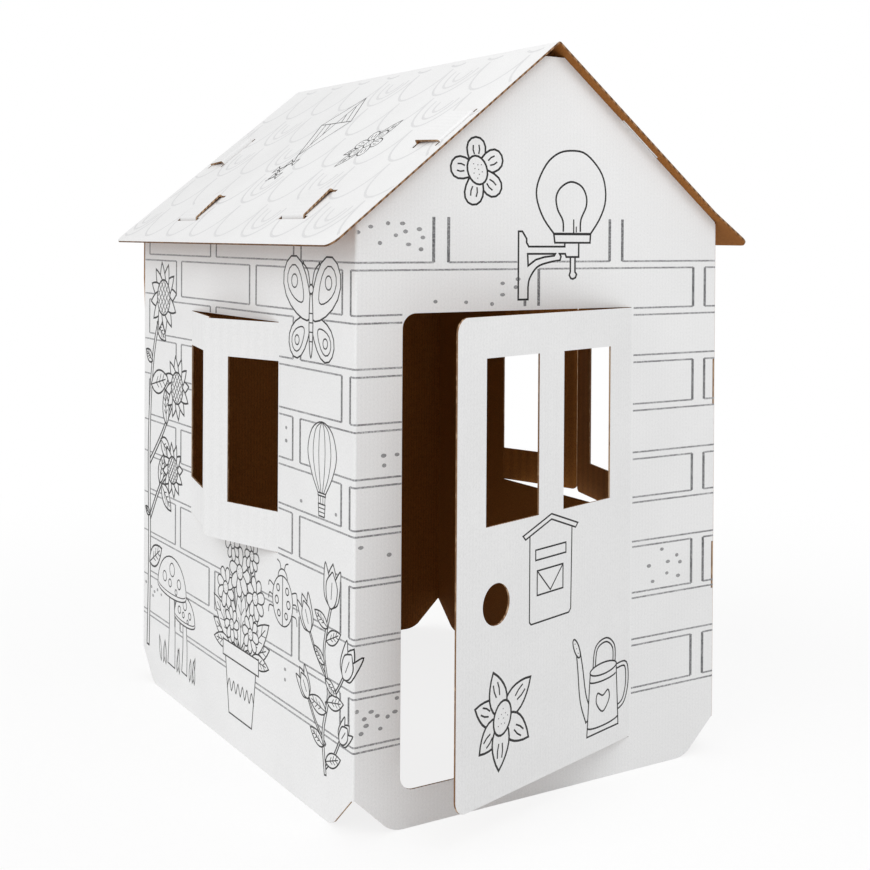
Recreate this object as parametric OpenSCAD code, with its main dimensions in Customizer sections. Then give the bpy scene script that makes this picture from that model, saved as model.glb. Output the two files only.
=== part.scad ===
// A child's colouring house of folded, die-cut corrugated card.
// Two wall sheets wrap round the four sides, and one folded roof sheet
// sits on the gables. Card tabs on top of the walls come up through slots
// in the roof and tuck back in. The door and the four window shutters are
// flaps of the wall sheets, bent outward at their creases.
// +X is to the right of the front, +Y to the back and +Z up. The origin is
// on the floor, in the middle of the whole part's width and depth.

/* [Walls] */
// Width of the front wall over its corners
house_w = 680; // [620:5:760]
// Depth of the house from the front wall to the back wall
house_d = 860; // [800:5:960]
// Height of the side walls
side_h = 874.5; // [840:0.5:920]
// Thickness of the corrugated card
card_t = 3; // [2:0.5:4]
// Radius inside a folded corner
fold_in_r = 1; // [0.5:0.25:2]
// Width of the flat left where the gable's point is cut off
peak_w = 46; // [20:1:90]
// Height of the chamfer cut at the foot of each corner
foot_h = 56; // [30:1:90]
// Width of the chamfer cut at the foot of each corner
foot_w = 64; // [40:1:90]
// Radius that rounds the chamfer into the bottom edge
foot_r = 50; // [10:1:60]
// Gap between two sheets that lie on each other
fit_gap = 0.3; // [0.2:0.05:0.6]

/* [Door] */
// Width of the doorway
door_w = 422; // [360:1:440]
// Height of the doorway
door_h = 686.5; // [650:0.5:740]
// Height of the strip of wall under the doorway
sill_h = 54.5; // [30:0.5:70]
// Distance from the right-hand corner to the door's crease
door_inset = 181; // [160:1:220]
// Radius of the doorway's and the door's free corners
door_corner_r = 22; // [5:1:40]
// Angle that the door stands open
door_open = 16.4; // [5:0.1:60]
// Width of one pane in the door
door_pane_w = 121; // [90:1:130]
// Height of the panes in the door
door_pane_h = 237; // [180:1:260]
// Width of the stile between the door's crease and its first pane
door_stile_w = 57; // [30:1:70]
// Width of the bar between the door's panes
door_bar_w = 60; // [30:1:80]
// Height of the door below its panes
door_lower_h = 389; // [350:1:400]
// Diameter of the hand hole
hand_hole_d = 60; // [40:1:80]
// Distance from the door's free edge to the middle of the hand hole
hand_hole_in = 86; // [60:1:120]
// Height of the hand hole's middle above the door's bottom edge
hand_hole_up = 277; // [220:1:300]

/* [Windows] */
// Width of each side window
window_w = 360; // [320:2:440]
// Height of each side window
window_h = 360; // [320:2:400]
// Height of the windows above the floor
window_up = 357; // [300:1:400]
// Angle that the left-hand front shutter stands open
left_front_open = 17.4; // [5:0.1:40]
// Angle that the left-hand rear shutter stands open
left_rear_open = 12.5; // [5:0.1:17]
// Angle that the right-hand front shutter stands open
right_front_open = 15; // [5:0.1:17]
// Angle that the right-hand rear shutter stands open
right_rear_open = 18.3; // [5:0.1:40]
// Width of the pane in each shutter, from the crease
shutter_pane_w = 120; // [80:1:135]
// Height of the shutter below its pane
shutter_lower_h = 63; // [40:1:80]
// Height of the shutter above its pane
shutter_upper_h = 60; // [40:1:80]
// Radius of the shutters' free corners
shutter_corner_r = 10; // [2:1:20]
// Width of the slit that the die cuts round a flap
slit_w = 1; // [0.5:0.1:2]
// Height of the bead that a crease raises on the inside
crease_bead = 0.25; // [0.1:0.05:0.5]

/* [Corner joints] */
// Width of the flaps glued at the corners
glue_flap_w = 60; // [30:1:90]
// Height that each glued flap's lower end tapers by
flap_low_taper = 20; // [5:1:50]
// Height that each glued flap's upper end tapers by
flap_high_taper = 30; // [5:1:50]
// Height of each tab that passes through the front right-hand fold
lock_h = 76; // [50:1:90]
// Room above and below each lock tab in its slot
lock_room = 1; // [0.5:0.1:2]
// Distance between the lock tabs' wall and the inside of the front wall
slide_gap = 0.5; // [0.3:0.1:2]
// Height of the lower lock tab above the floor
lock_low_z = 271; // [200:1:300]
// Height of the upper lock tab above the floor
lock_high_z = 575; // [500:1:620]
// Distance that the back sheet's raw edge is tucked in low down
edge_tuck = 4; // [1:0.5:6]
// Distance below the windows' top edge where the raw edge is fully tucked in
tuck_low = 50; // [20:1:120]
// Height over which the raw edge slides in to that depth
tuck_run = 100; // [50:1:200]

/* [Roof] */
// Angle of the roof's slopes
roof_pitch = 38.57; // [34:0.01:42]
// Distance from the middle of the house to the left-hand eave
eave_x = 390; // [388:1:410]
// Distance from the middle of the house to the right-hand eave
right_eave_x = 398.5; // [388:0.5:410]
// Overhang of the roof in front
front_overhang = 18.5; // [10:0.5:30]
// Overhang of the roof at the back
rear_overhang = 21; // [10:0.5:30]
// Radius inside the ridge's fold
ridge_in_r = 2; // [1:0.5:5]
// Radius of the roof's corners at the eaves
eave_corner_r = 20; // [5:1:30]
// Distance from the middle of the house to the right-hand eave's crease
kink_x = 321; // [300:1:330]
// Angle that the right-hand eave is bent up
kink_angle = 4.5; // [1:0.5:9]

/* [Roof tabs] */
// Width of each roof tab
tab_w = 74; // [50:1:80]
// Length of each slot in the roof
slot_len = 92; // [84:1:110]
// Length of a tab's run on top of the roof
tab_run = 57; // [40:1:70]
// Angle at which a tab's run stands off the roof
tab_rise = 3.5; // [2:0.5:6]
// Angle at which a tab's tip dips back through the roof
tab_drop = 70; // [55:1:80]
// Reach of a tab's tip below the roof
tip_reach = 12; // [5:1:20]
// Clearance of a tab in its slot
slot_gap = 0.6; // [0.4:0.1:1]
// Distance down the slope from the ridge to the middle of a gable tab
gable_tab_s = 221; // [160:1:270]
// Distance from the middle of a side wall to its front tab
front_tab_y = 227; // [180:1:260]
// Distance from the middle of a side wall to its rear tab
rear_tab_y = 202; // [180:1:260]

/* [Hidden] */
$fn = 64;
eps = 1;
card_white = [0.95, 0.95, 0.94];
roof_white = [0.97, 0.97, 0.96];

fold_r = fold_in_r + card_t;
bend_r = fold_in_r + card_t / 2;
half_w = house_w / 2;
half_d = house_d / 2;
// outer face of the right-hand wall, under the front sheet's flap
right_x = half_w - card_t - fit_gap;
// outer face of the flap behind the back wall
rear_flap_y = half_d - card_t - fit_gap;
// front edge of the right-hand wall, behind the front wall
right_front_y = -half_d + card_t + slide_gap;

// the roof's top face is a line that meets the middle plane at apex_z
apex_z = side_h + (card_t + fit_gap) / cos(roof_pitch) + half_w * tan(roof_pitch);
function top_z(x) = apex_z - abs(x) * tan(roof_pitch);
function gable_z(x) = top_z(x) - (card_t + fit_gap) / cos(roof_pitch);
ridge_r = ridge_in_r + card_t;
slope_len = eave_x / cos(roof_pitch);
kink_s = kink_x / cos(roof_pitch);
strip_len = (right_eave_x - kink_x) / cos(roof_pitch - kink_angle);
// height of the bent eave strip over the straight slope, at the right-hand wall
wall_mid_left = half_w - card_t / 2;
wall_mid_right = right_x - card_t / 2;
kink_lift = max(0, wall_mid_right - kink_x)
            * (tan(roof_pitch) - tan(roof_pitch - kink_angle));

// a tab's path climbs out of its wall at [0, 0], bends over to the angle
// along, runs on top of the roof and bends down to the angle down
side_rise = card_t / 2 * tan(roof_pitch) + 0.4;
gable_rise = 0.3;
function dir(a) = [cos(a), sin(a)];
function side_of(a) = [sin(a), -cos(a)];
function first_centre() = [bend_r, 0];
function second_centre(along) =
    first_centre() + tab_run * dir(along);
function dip_point(along, down) = second_centre(along) - bend_r * side_of(down);
function arc_points(centre, r, from, to) =
    [for (i = [0 : 8]) centre + r * dir(from + (to - from) * i / 8)];
function tab_points(along, down, root, tip) =
    let (
        outer = bend_r + card_t / 2,
        half = card_t / 2 * side_of(down),
        end = dip_point(along, down) + tip * dir(down)
    )
    concat(
        [[-card_t / 2, -root]],
        arc_points(first_centre(), outer, 180, along + 90),
        arc_points(second_centre(along), outer, along + 90, down + 90),
        [end - half, end + half],
        arc_points(second_centre(along), fold_in_r, down + 90, along + 90),
        arc_points(first_centre(), fold_in_r, along + 90, 180),
        [[card_t / 2, -root]]
    );
// turns a point into a slope's own frame
function in_slope(p) = [
    p[0] * cos(roof_pitch) + p[1] * sin(roof_pitch),
    -p[0] * sin(roof_pitch) + p[1] * cos(roof_pitch)
];
// where a tip that dips from p meets the middle of the roof's card, and how
// far it runs on to its end
function crossing(p) = p[0] + (p[1] + card_t / 2) / tan(tab_drop);
function tip_length(p) = (p[1] + card_t) / sin(tab_drop) + tip_reach;
side_along = roof_pitch + tab_rise;
side_down = roof_pitch - tab_drop;
left_dip = in_slope(dip_point(side_along, side_down) + [0, side_rise]);
right_dip = in_slope(dip_point(side_along, side_down) + [0, side_rise + kink_lift]);
gable_dip = dip_point(tab_rise, -tab_drop) + [0, gable_rise];
dip_slot_w = card_t / sin(tab_drop) + card_t / tan(tab_drop) + 2 * slot_gap;
tab_root = 8;

// the whole part's reach to each side, which sets the origin
shutter_flap_w = window_w / 2 - slit_w / 2;
left_open = max(left_front_open, left_rear_open);
right_open = max(right_front_open, right_rear_open);
left_reach = max(eave_x, half_w + shutter_flap_w * sin(left_open));
right_reach = max(right_eave_x, right_x + shutter_flap_w * sin(right_open));
door_flap_w = door_w - slit_w;
front_reach = max(half_d + front_overhang, half_d + door_flap_w * sin(door_open));
rear_reach = half_d + rear_overhang;
shift_x = (left_reach - right_reach) / 2;
shift_y = (front_reach - rear_reach) / 2;

hinge_x = half_w - door_inset;
door_top = sill_h + door_h;
window_top = window_up + window_h;

// what is cut away outside a rounded corner at the origin's upper right
module corner_cut(r) {
    difference() {
        square(r + eps);
        circle(r);
    }
}

// a slice of a disc between two angles
module sector(r, from, to) {
    intersection() {
        circle(r);
        polygon([[0, 0], 3 * r * dir(from), 3 * r * dir((from + to) / 2), 3 * r * dir(to)]);
    }
}

// a bent strip of card between two angles
module bend(r_in, from, to) {
    difference() {
        sector(r_in + card_t, from, to);
        circle(r_in);
    }
}

// the part of a chamfered foot that its rounding takes away, for a corner
// whose chamfer rises to the left of [x, 0]
module foot_rounding(x) {
    turn = atan2(foot_h, foot_w);
    reach = foot_r * tan(turn / 2);
    difference() {
        polygon([
            [x + reach, 0],
            [x + reach, -eps],
            [x - eps * tan(turn / 2), -eps],
            [x - (reach + eps) * cos(turn), (reach + eps) * sin(turn) - eps],
            [x - reach * cos(turn), reach * sin(turn)]
        ]);
        translate([x + reach, foot_r]) circle(foot_r);
    }
}

// a wall's outline below its top edge, from one fold to the next, with a
// chamfered foot at each end measured from the true corners
module wall_outline(left, right, top, corner_left, corner_right) {
    difference() {
        polygon(concat([
            [left, foot_h],
            [corner_left + foot_w, 0],
            [corner_right - foot_w, 0],
            [right, foot_h]
        ], top));
        foot_rounding(corner_left + foot_w);
        mirror([1, 0]) foot_rounding(-corner_right + foot_w);
    }
}

// the top of a gable wall, from its right-hand end to its left-hand end
function gable_top(left, right) = [
    [right, gable_z(right)],
    [peak_w / 2, gable_z(peak_w / 2)],
    [-peak_w / 2, gable_z(peak_w / 2)],
    [left, gable_z(left)]
];

// an opening whose left-hand corners are rounded
module doorway() {
    difference() {
        translate([hinge_x - door_w, sill_h]) square([door_w, door_h]);
        translate([hinge_x - door_w + door_corner_r, door_top - door_corner_r])
            mirror([1, 0]) corner_cut(door_corner_r);
        translate([hinge_x - door_w + door_corner_r, sill_h + door_corner_r])
            mirror([1, 0]) mirror([0, 1]) corner_cut(door_corner_r);
    }
}

// a flap's outline, from its crease at x = 0, with rounded free corners
module flap_outline(w, h, r) {
    difference() {
        square([w, h]);
        translate([w - r, h - r]) corner_cut(r);
        translate([w - r, r]) mirror([0, 1]) corner_cut(r);
    }
}

// a flat shape stood up facing the front, its outer face at y
module facing_front(y) {
    translate([0, y + card_t, 0]) rotate([90, 0, 0]) linear_extrude(card_t) children();
}

// a flat shape stood up along the depth, between x and x + card_t
module along_depth(x) {
    translate([x, 0, 0]) rotate([90, 0, 90]) linear_extrude(card_t) children();
}

// an upright folded corner, its outer faces left and in front of [x, y]
module corner_fold(x, y, from_z, to_z) {
    translate([x + fold_r, y + fold_r, from_z])
        linear_extrude(to_z - from_z) bend(fold_in_r, 180, 270);
}

// a flap bent outward at its crease. The wall is to the left of the origin
// with its outer face on y = 0, and children are cut out of the flap
module flap(w, h, r, open) {
    rotate([0, 0, -open]) translate([0, card_t, 0]) rotate([90, 0, 0])
        linear_extrude(card_t) difference() {
            flap_outline(w, h, r);
            children();
        }
}

// the bent card along a crease, with the bead that it raises, which runs a
// little past each end of the crease
module crease(h, open) {
    translate([0, 0, -slit_w / 4])
        linear_extrude(h + slit_w / 2) sector(card_t + crease_bead, 45 - open, 135);
}

module door() {
    flap_h = door_h - 2 * slit_w;
    translate([hinge_x, -half_d, sill_h + slit_w]) mirror([1, 0, 0]) {
        flap(door_flap_w, flap_h, door_corner_r, door_open) {
            for (i = [0, 1])
                translate([door_stile_w + i * (door_pane_w + door_bar_w), door_lower_h])
                    square([door_pane_w, door_pane_h]);
            translate([door_flap_w - hand_hole_in, hand_hole_up]) circle(d = hand_hole_d);
        }
        crease(flap_h, door_open);
    }
}

// a shutter whose crease is at the origin
module shutter(open) {
    flap_h = window_h - 2 * slit_w;
    translate([0, 0, slit_w]) {
        flap(shutter_flap_w, flap_h, shutter_corner_r, open)
            translate([-eps, shutter_lower_h])
                square([shutter_pane_w + eps, flap_h - shutter_lower_h - shutter_upper_h]);
        crease(shutter_lower_h, open);
        translate([0, 0, flap_h - shutter_upper_h]) crease(shutter_upper_h, open);
    }
}

// the two shutters of a window in the left-hand wall, outer face at x = 0
module shutters(front_open, rear_open) {
    translate([0, window_w / 2, window_up]) rotate([0, 0, -90]) shutter(rear_open);
    mirror([0, 1, 0])
        translate([0, window_w / 2, window_up]) rotate([0, 0, -90])
            shutter(front_open);
}

module window_opening() {
    translate([-window_w / 2, window_up]) square([window_w, window_h]);
}

// a slope's own frame: x up the slope to the ridge, z square to its top face
module on_left_slope() {
    translate([0, 0, apex_z]) rotate([0, -roof_pitch, 0]) children();
}

module on_right_slope() {
    mirror([1, 0, 0]) on_left_slope() children();
}

// a gable tab on the left slope of the front wall
module gable_tab() {
    root = card_t + fit_gap + tab_root;
    on_left_slope()
        translate([-gable_tab_s - tab_w / 2, -half_d + card_t / 2, gable_rise])
            rotate([90, 0, 90]) linear_extrude(tab_w)
                polygon(tab_points(tab_rise, -tab_drop, root, tip_length(gable_dip)));
}

module gable_tabs() {
    gable_tab();
    mirror([1, 0, 0]) gable_tab();
}

// a side wall's two tabs, for a left-hand wall whose middle plane is mid
// from the middle of the house, raised by lift over the straight slope
module side_tabs(mid, lift, dip) {
    level = top_z(mid) + side_rise + lift;
    root = level - side_h + tab_root;
    for (y = [-front_tab_y, rear_tab_y])
        translate([-mid, y + tab_w / 2, level]) rotate([90, 0, 0])
            linear_extrude(tab_w)
                polygon(tab_points(side_along, side_down, root, tip_length(dip)));
}

module front_and_left_wall() {
    color(card_white) translate([shift_x, shift_y, 0]) {
        difference() {
            union() {
                facing_front(-half_d) difference() {
                    wall_outline(-half_w + fold_r, half_w - fold_r,
                                 gable_top(-half_w + fold_r, half_w - fold_r),
                                 -half_w, half_w);
                    doorway();
                }
                mirror([1, 0, 0]) corner_fold(-half_w, -half_d, foot_h, side_h);
            }
            for (z = [lock_low_z, lock_high_z])
                translate([right_x - card_t - fit_gap, -half_d - eps, z - lock_room])
                    cube([card_t + 2 * fit_gap, card_t + 2 * eps, lock_h + 2 * lock_room]);
        }
        door();
        gable_tabs();
        // flap folded back over the outside of the right-hand wall
        along_depth(half_w - card_t) polygon([
            [-half_d + fold_r, foot_h],
            [-half_d + glue_flap_w, foot_h + flap_low_taper],
            [-half_d + glue_flap_w, side_h - flap_high_taper],
            [-half_d + fold_r, side_h]
        ]);
        corner_fold(-half_w, -half_d, foot_h, side_h);
        along_depth(-half_w) difference() {
            wall_outline(-half_d + fold_r, rear_flap_y - fold_r,
                         [[rear_flap_y - fold_r, side_h], [-half_d + fold_r, side_h]],
                         -half_d, half_d);
            window_opening();
        }
        translate([-half_w, 0, 0]) shutters(left_front_open, left_rear_open);
        side_tabs(wall_mid_left, 0, left_dip);
        // flap folded in behind the back wall
        mirror([0, 1, 0]) corner_fold(-half_w, -rear_flap_y, foot_h, side_h);
        facing_front(rear_flap_y - card_t) polygon([
            [-half_w + fold_r, foot_h],
            [-half_w + glue_flap_w, foot_h + flap_low_taper],
            [-half_w + glue_flap_w, side_h - flap_high_taper],
            [-half_w + fold_r, side_h]
        ]);
    }
}

module back_and_right_wall() {
    tuck_z = window_top - tuck_low;
    color(card_white) translate([shift_x, shift_y, 0]) {
        facing_front(half_d - card_t)
            difference() {
                wall_outline(-half_w, right_x - fold_r,
                             gable_top(-half_w, right_x - fold_r), -half_w, right_x);
                // the raw edge is tucked in below tuck_z
                polygon([
                    [-half_w - eps, -eps],
                    [-half_w + edge_tuck, -eps],
                    [-half_w + edge_tuck, tuck_z],
                    [-half_w, tuck_z + tuck_run],
                    [-half_w - eps, tuck_z + tuck_run]
                ]);
            }
        mirror([0, 1, 0]) gable_tabs();
        mirror([1, 0, 0]) mirror([0, 1, 0]) corner_fold(-right_x, -half_d, foot_h, side_h);
        along_depth(right_x - card_t) {
            difference() {
                wall_outline(right_front_y, half_d - fold_r,
                             [[half_d - fold_r, side_h], [right_front_y, side_h]],
                             -half_d, half_d);
                window_opening();
            }
            for (z = [lock_low_z, lock_high_z])
                translate([-half_d, z]) square([card_t + eps, lock_h]);
        }
        mirror([1, 0, 0]) {
            translate([-right_x, 0, 0]) shutters(right_front_open, right_rear_open);
            side_tabs(wall_mid_right, kink_lift, right_dip);
        }
    }
}

// turns a point of the left slope's frame, or its mirror image, into the section
function on_left(p) = [
    p[0] * cos(roof_pitch) - p[1] * sin(roof_pitch),
    apex_z + p[0] * sin(roof_pitch) + p[1] * cos(roof_pitch)
];
function on_right(p) = [-on_left(p)[0], on_left(p)[1]];

// the section of the folded roof sheet, seen from the front
module roof_section() {
    ridge = [0, apex_z - ridge_r / cos(roof_pitch)];
    eave = [-kink_s, 0] - strip_len * dir(-kink_angle);
    polygon(concat(
        [on_left([-slope_len, -card_t]), on_left([-slope_len, 0])],
        arc_points(ridge, ridge_r, 90 + roof_pitch, 90 - roof_pitch),
        [
            on_right([-kink_s, 0]),
            on_right(eave),
            on_right(eave - card_t * dir(90 - kink_angle)),
            on_right([-kink_s - card_t * tan(kink_angle / 2), -card_t])
        ],
        arc_points(ridge, ridge_in_r, 90 - roof_pitch, 90 + roof_pitch)
    ));
}

// the cuts at an eave's two corners, in the frame of its strip, with the
// eave at x = 0 and the sheet towards +x
module eave_corners() {
    for (m = [0, 1])
        translate([0, m == 0 ? -half_d - front_overhang : half_d + rear_overhang, -card_t - eps])
            mirror([0, m, 0]) linear_extrude(card_t + 2 * eps)
                translate([eave_corner_r, eave_corner_r])
                    mirror([1, 0]) mirror([0, 1]) corner_cut(eave_corner_r);
}

// the slots for the tabs of one slope, in that slope's frame
module slope_slots(mid, dip, lift) {
    deep = card_t + 10;
    // a gable tab's slot and the one for its tip, at both ends
    for (m = [0, 1])
        mirror([0, m, 0]) translate([-gable_tab_s - slot_len / 2, -half_d, -card_t - 5]) {
            translate([0, -slot_gap, 0]) cube([slot_len, card_t + 2 * slot_gap, deep]);
            translate([0, card_t / 2 + crossing(gable_dip) - dip_slot_w / 2, 0])
                cube([slot_len, dip_slot_w, deep]);
        }
    // a side wall tab's slots
    half_t = card_t / 2 / cos(roof_pitch) + slot_gap;
    low = -card_t * tan(roof_pitch) - half_t;
    high = lift * sin(roof_pitch) + half_t;
    for (y = [-front_tab_y, rear_tab_y])
        translate([-mid / cos(roof_pitch), y - slot_len / 2, -card_t - 5]) {
            translate([low, 0, 0]) cube([high - low, slot_len, deep]);
            translate([crossing(dip) - dip_slot_w / 2, 0, 0])
                cube([dip_slot_w, slot_len, deep]);
        }
}

module roof() {
    color(roof_white) translate([shift_x, shift_y, 0]) difference() {
        translate([0, half_d + rear_overhang, 0]) rotate([90, 0, 0])
            linear_extrude(house_d + front_overhang + rear_overhang) roof_section();
        on_left_slope() {
            translate([-slope_len, 0, 0]) eave_corners();
            slope_slots(wall_mid_left, left_dip, 0);
        }
        on_right_slope() {
            translate([-kink_s, 0, 0]) rotate([0, kink_angle, 0])
                translate([-strip_len, 0, 0]) eave_corners();
            slope_slots(wall_mid_right, right_dip, kink_lift);
        }
    }
}

front_and_left_wall();
back_and_right_wall();
roof();
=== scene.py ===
"""Finishes, line print, floor, light and camera for a folded card colouring house."""

import logging
import math
from collections.abc import Iterable, Iterator, Sequence
from dataclasses import dataclass
from enum import Enum
from typing import Protocol

import bmesh
import bpy
from mathutils import Matrix, Vector
from mathutils.bvhtree import BVHTree

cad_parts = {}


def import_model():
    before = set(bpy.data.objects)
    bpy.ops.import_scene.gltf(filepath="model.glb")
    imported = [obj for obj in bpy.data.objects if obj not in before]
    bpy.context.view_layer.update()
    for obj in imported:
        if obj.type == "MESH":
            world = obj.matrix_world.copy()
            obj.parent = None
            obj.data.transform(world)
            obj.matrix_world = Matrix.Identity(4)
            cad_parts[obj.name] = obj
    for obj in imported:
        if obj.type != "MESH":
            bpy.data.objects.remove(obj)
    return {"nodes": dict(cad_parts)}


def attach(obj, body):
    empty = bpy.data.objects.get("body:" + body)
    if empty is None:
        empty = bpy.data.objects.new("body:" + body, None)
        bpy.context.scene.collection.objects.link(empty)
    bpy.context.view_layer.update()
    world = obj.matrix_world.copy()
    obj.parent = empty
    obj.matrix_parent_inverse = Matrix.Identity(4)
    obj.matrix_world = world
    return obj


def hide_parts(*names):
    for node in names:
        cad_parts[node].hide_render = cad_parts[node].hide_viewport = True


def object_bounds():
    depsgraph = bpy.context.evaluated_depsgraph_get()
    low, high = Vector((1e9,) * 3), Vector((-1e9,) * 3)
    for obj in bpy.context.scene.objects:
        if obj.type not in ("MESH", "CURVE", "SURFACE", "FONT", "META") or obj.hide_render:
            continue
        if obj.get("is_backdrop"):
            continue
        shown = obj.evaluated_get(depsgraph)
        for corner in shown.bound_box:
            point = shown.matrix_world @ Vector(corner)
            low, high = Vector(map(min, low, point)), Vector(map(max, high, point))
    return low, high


LOG = logging.getLogger("colouring_house")

MM = 0.001
Point = tuple[float, float]
Colour = tuple[float, float, float]

# The house's own middle, in millimetres from the frame's origin.
HOUSE_X = -2.411
HOUSE_Y = 48.93


class Slot(Enum):
    """Names for the card's material slots."""

    WALLS = "wall_card"
    BACK_WALLS = "wall_card_back"
    ROOF = "roof_card"


@dataclass(frozen=True)
class HouseSizes:
    """Places of the card's outer faces, in millimetres from the house's middle.

    Attributes:
        half_width: From the middle to the left wall's face and to the front's right fold.
        half_depth: From the middle to the front and back walls' faces.
        right_face: From the middle to the right wall's face, under the glued flap.
        fold_radius: Outer radius of a folded corner.
        crease_x: The door's crease.
        door_angle: How far the door stands open, in degrees.
        apex_z: Height where the slopes' top faces would meet.
        pitch: The slopes' angle, in degrees.
        kink_x: From the middle plane to the right eave's crease.
        strip_pitch: The right eave strip's angle, in degrees.
        card: The card's thickness.
        inner_gap: From a wall's outer face to the outer face of a sheet tucked in behind it.
        flap: Width of the flap over the outside of the right wall.
        print_inset: From the front wall's face to where the right wall's print begins.
        front_overhang: How far the roof stands out past the front wall.
        rear_overhang: How far the roof stands out past the back wall.
        shingle_reach: From the ridge to the lowest shingles, along the slope.
    """

    half_width: float = 340.0
    half_depth: float = 430.0
    right_face: float = 336.7
    fold_radius: float = 4.0
    crease_x: float = 159.0
    door_angle: float = 16.4
    apex_z: float = 1149.85
    pitch: float = 38.57
    kink_x: float = 321.0
    strip_pitch: float = 34.07
    card: float = 3.0
    inner_gap: float = 3.3
    flap: float = 60.0
    print_inset: float = 5.0
    front_overhang: float = 18.5
    rear_overhang: float = 21.0
    shingle_reach: float = 490.0


def srgb(value: int) -> float:
    """Turns an 8-bit tone into a linear one.

    Args:
        value: A tone from 0 to 255.

    Returns:
        The linear tone from 0 to 1.
    """
    share = value / 255
    return share / 12.92 if share <= 0.04045 else ((share + 0.055) / 1.055) ** 2.4


def tone(red: int, green: int, blue: int) -> Colour:
    """Turns an 8-bit colour into a linear one.

    Args:
        red: Red from 0 to 255.
        green: Green from 0 to 255.
        blue: Blue from 0 to 255.

    Returns:
        The linear colour.
    """
    return (srgb(red), srgb(green), srgb(blue))


class Graph:
    """A material's node tree, with short ways to fill it."""

    def __init__(self, name: str) -> None:
        """Starts a material with a Principled shader.

        Args:
            name: The material's name.
        """
        self.material = bpy.data.materials.new(name)
        self.material.use_nodes = True
        self.tree = self.material.node_tree
        self.tree.nodes.clear()
        self.output = self.tree.nodes.new("ShaderNodeOutputMaterial")
        self.shader = self.tree.nodes.new("ShaderNodeBsdfPrincipled")
        self.link(self.shader, "BSDF", self.output, "Surface")
        self.place = self.tree.nodes.new("ShaderNodeTexCoord")

    def link(self, source: bpy.types.Node, out: str, target: bpy.types.Node, into: str) -> None:
        """Joins two nodes.

        Args:
            source: The node that gives.
            out: Its socket's name.
            target: The node that takes.
            into: Its socket's name.
        """
        self.tree.links.new(source.outputs[out], target.inputs[into])

    def stretched(self, scale: Colour, turn: Colour = (0.0, 0.0, 0.0)) -> bpy.types.Node:
        """Object coordinates, turned and scaled.

        Args:
            scale: Scale along each axis.
            turn: Turn about each axis, in radians.

        Returns:
            The mapping node.
        """
        node = self.tree.nodes.new("ShaderNodeMapping")
        node.inputs["Scale"].default_value = scale
        node.inputs["Rotation"].default_value = turn
        self.link(self.place, "Object", node, "Vector")
        return node

    def noise(self, mapping: bpy.types.Node, scale: float, detail: float = 3.0) -> bpy.types.Node:
        """A noise texture.

        Args:
            mapping: Where its coordinates come from.
            scale: Cells per metre, before the mapping's own scale.
            detail: Its octaves.

        Returns:
            The texture node.
        """
        node = self.tree.nodes.new("ShaderNodeTexNoise")
        node.inputs["Scale"].default_value = scale
        node.inputs["Detail"].default_value = detail
        self.link(mapping, "Vector", node, "Vector")
        return node

    def waves(self, mapping: bpy.types.Node, pitch: float, warp: float) -> bpy.types.Node:
        """Parallel bands across the mapping's X axis.

        Args:
            mapping: Where its coordinates come from.
            pitch: Distance from one band to the next, in metres.
            warp: How much the bands wander.

        Returns:
            The texture node.
        """
        node = self.tree.nodes.new("ShaderNodeTexWave")
        node.bands_direction = "X"
        node.inputs["Scale"].default_value = math.pi / 10 / pitch
        node.inputs["Distortion"].default_value = warp
        node.inputs["Detail"].default_value = 1.0
        node.inputs["Detail Scale"].default_value = 3.0
        self.link(mapping, "Vector", node, "Vector")
        return node

    def ramp(self, source: bpy.types.Node, out: str, stops: Sequence[tuple[float, Colour]]) -> bpy.types.Node:
        """Colours for a value.

        Args:
            source: The node that gives the value.
            out: Its socket's name.
            stops: Places from 0 to 1 and their colours.

        Returns:
            The ramp node.
        """
        node = self.tree.nodes.new("ShaderNodeValToRGB")
        bar = node.color_ramp.elements
        while len(bar) < len(stops):
            bar.new(0.5)
        for element, (place, colour) in zip(bar, stops):
            element.position = place
            element.color = (*colour, 1.0)
        self.link(source, out, node, "Fac")
        return node

    def mix(self, kind: str, share: float, first: bpy.types.Node, second: bpy.types.Node) -> bpy.types.Node:
        """Blends two colours.

        Args:
            kind: The blend's name.
            share: How much of the second one.
            first: A node with a Color output, or another blend.
            second: A node with a Color output, or another blend.

        Returns:
            The blend node, whose result is its Result socket.
        """
        node = self.tree.nodes.new("ShaderNodeMix")
        node.data_type = "RGBA"
        node.blend_type = kind
        node.inputs[0].default_value = share
        for source, socket in ((first, node.inputs[6]), (second, node.inputs[7])):
            out = source.outputs[2] if source.bl_idname == "ShaderNodeMix" else source.outputs["Color"]
            self.tree.links.new(out, socket)
        return node

    def colour(self, source: bpy.types.Node) -> None:
        """Gives the shader its base colour.

        Args:
            source: A node with a Color output, or a blend.
        """
        out = source.outputs[2] if source.bl_idname == "ShaderNodeMix" else source.outputs["Color"]
        self.tree.links.new(out, self.shader.inputs["Base Color"])

    def bump(self, layers: Sequence[tuple[bpy.types.Node, str, float]]) -> None:
        """Gives the shader its relief.

        Args:
            layers: Height nodes, their sockets' names and their depths in metres.
        """
        last = None
        for source, out, depth in layers:
            node = self.tree.nodes.new("ShaderNodeBump")
            node.inputs["Strength"].default_value = 1.0
            node.inputs["Distance"].default_value = depth
            self.link(source, out, node, "Height")
            if last is not None:
                self.link(last, "Normal", node, "Normal")
            last = node
        self.link(last, "Normal", self.shader, "Normal")

    def finish(self, roughness: float, level: float) -> bpy.types.Material:
        """Sets the shader's gloss.

        Args:
            roughness: The surface's roughness.
            level: The surface's specular level.

        Returns:
            The material.
        """
        self.shader.inputs["Roughness"].default_value = roughness
        self.shader.inputs["Specular IOR Level"].default_value = level
        return self.material


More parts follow.
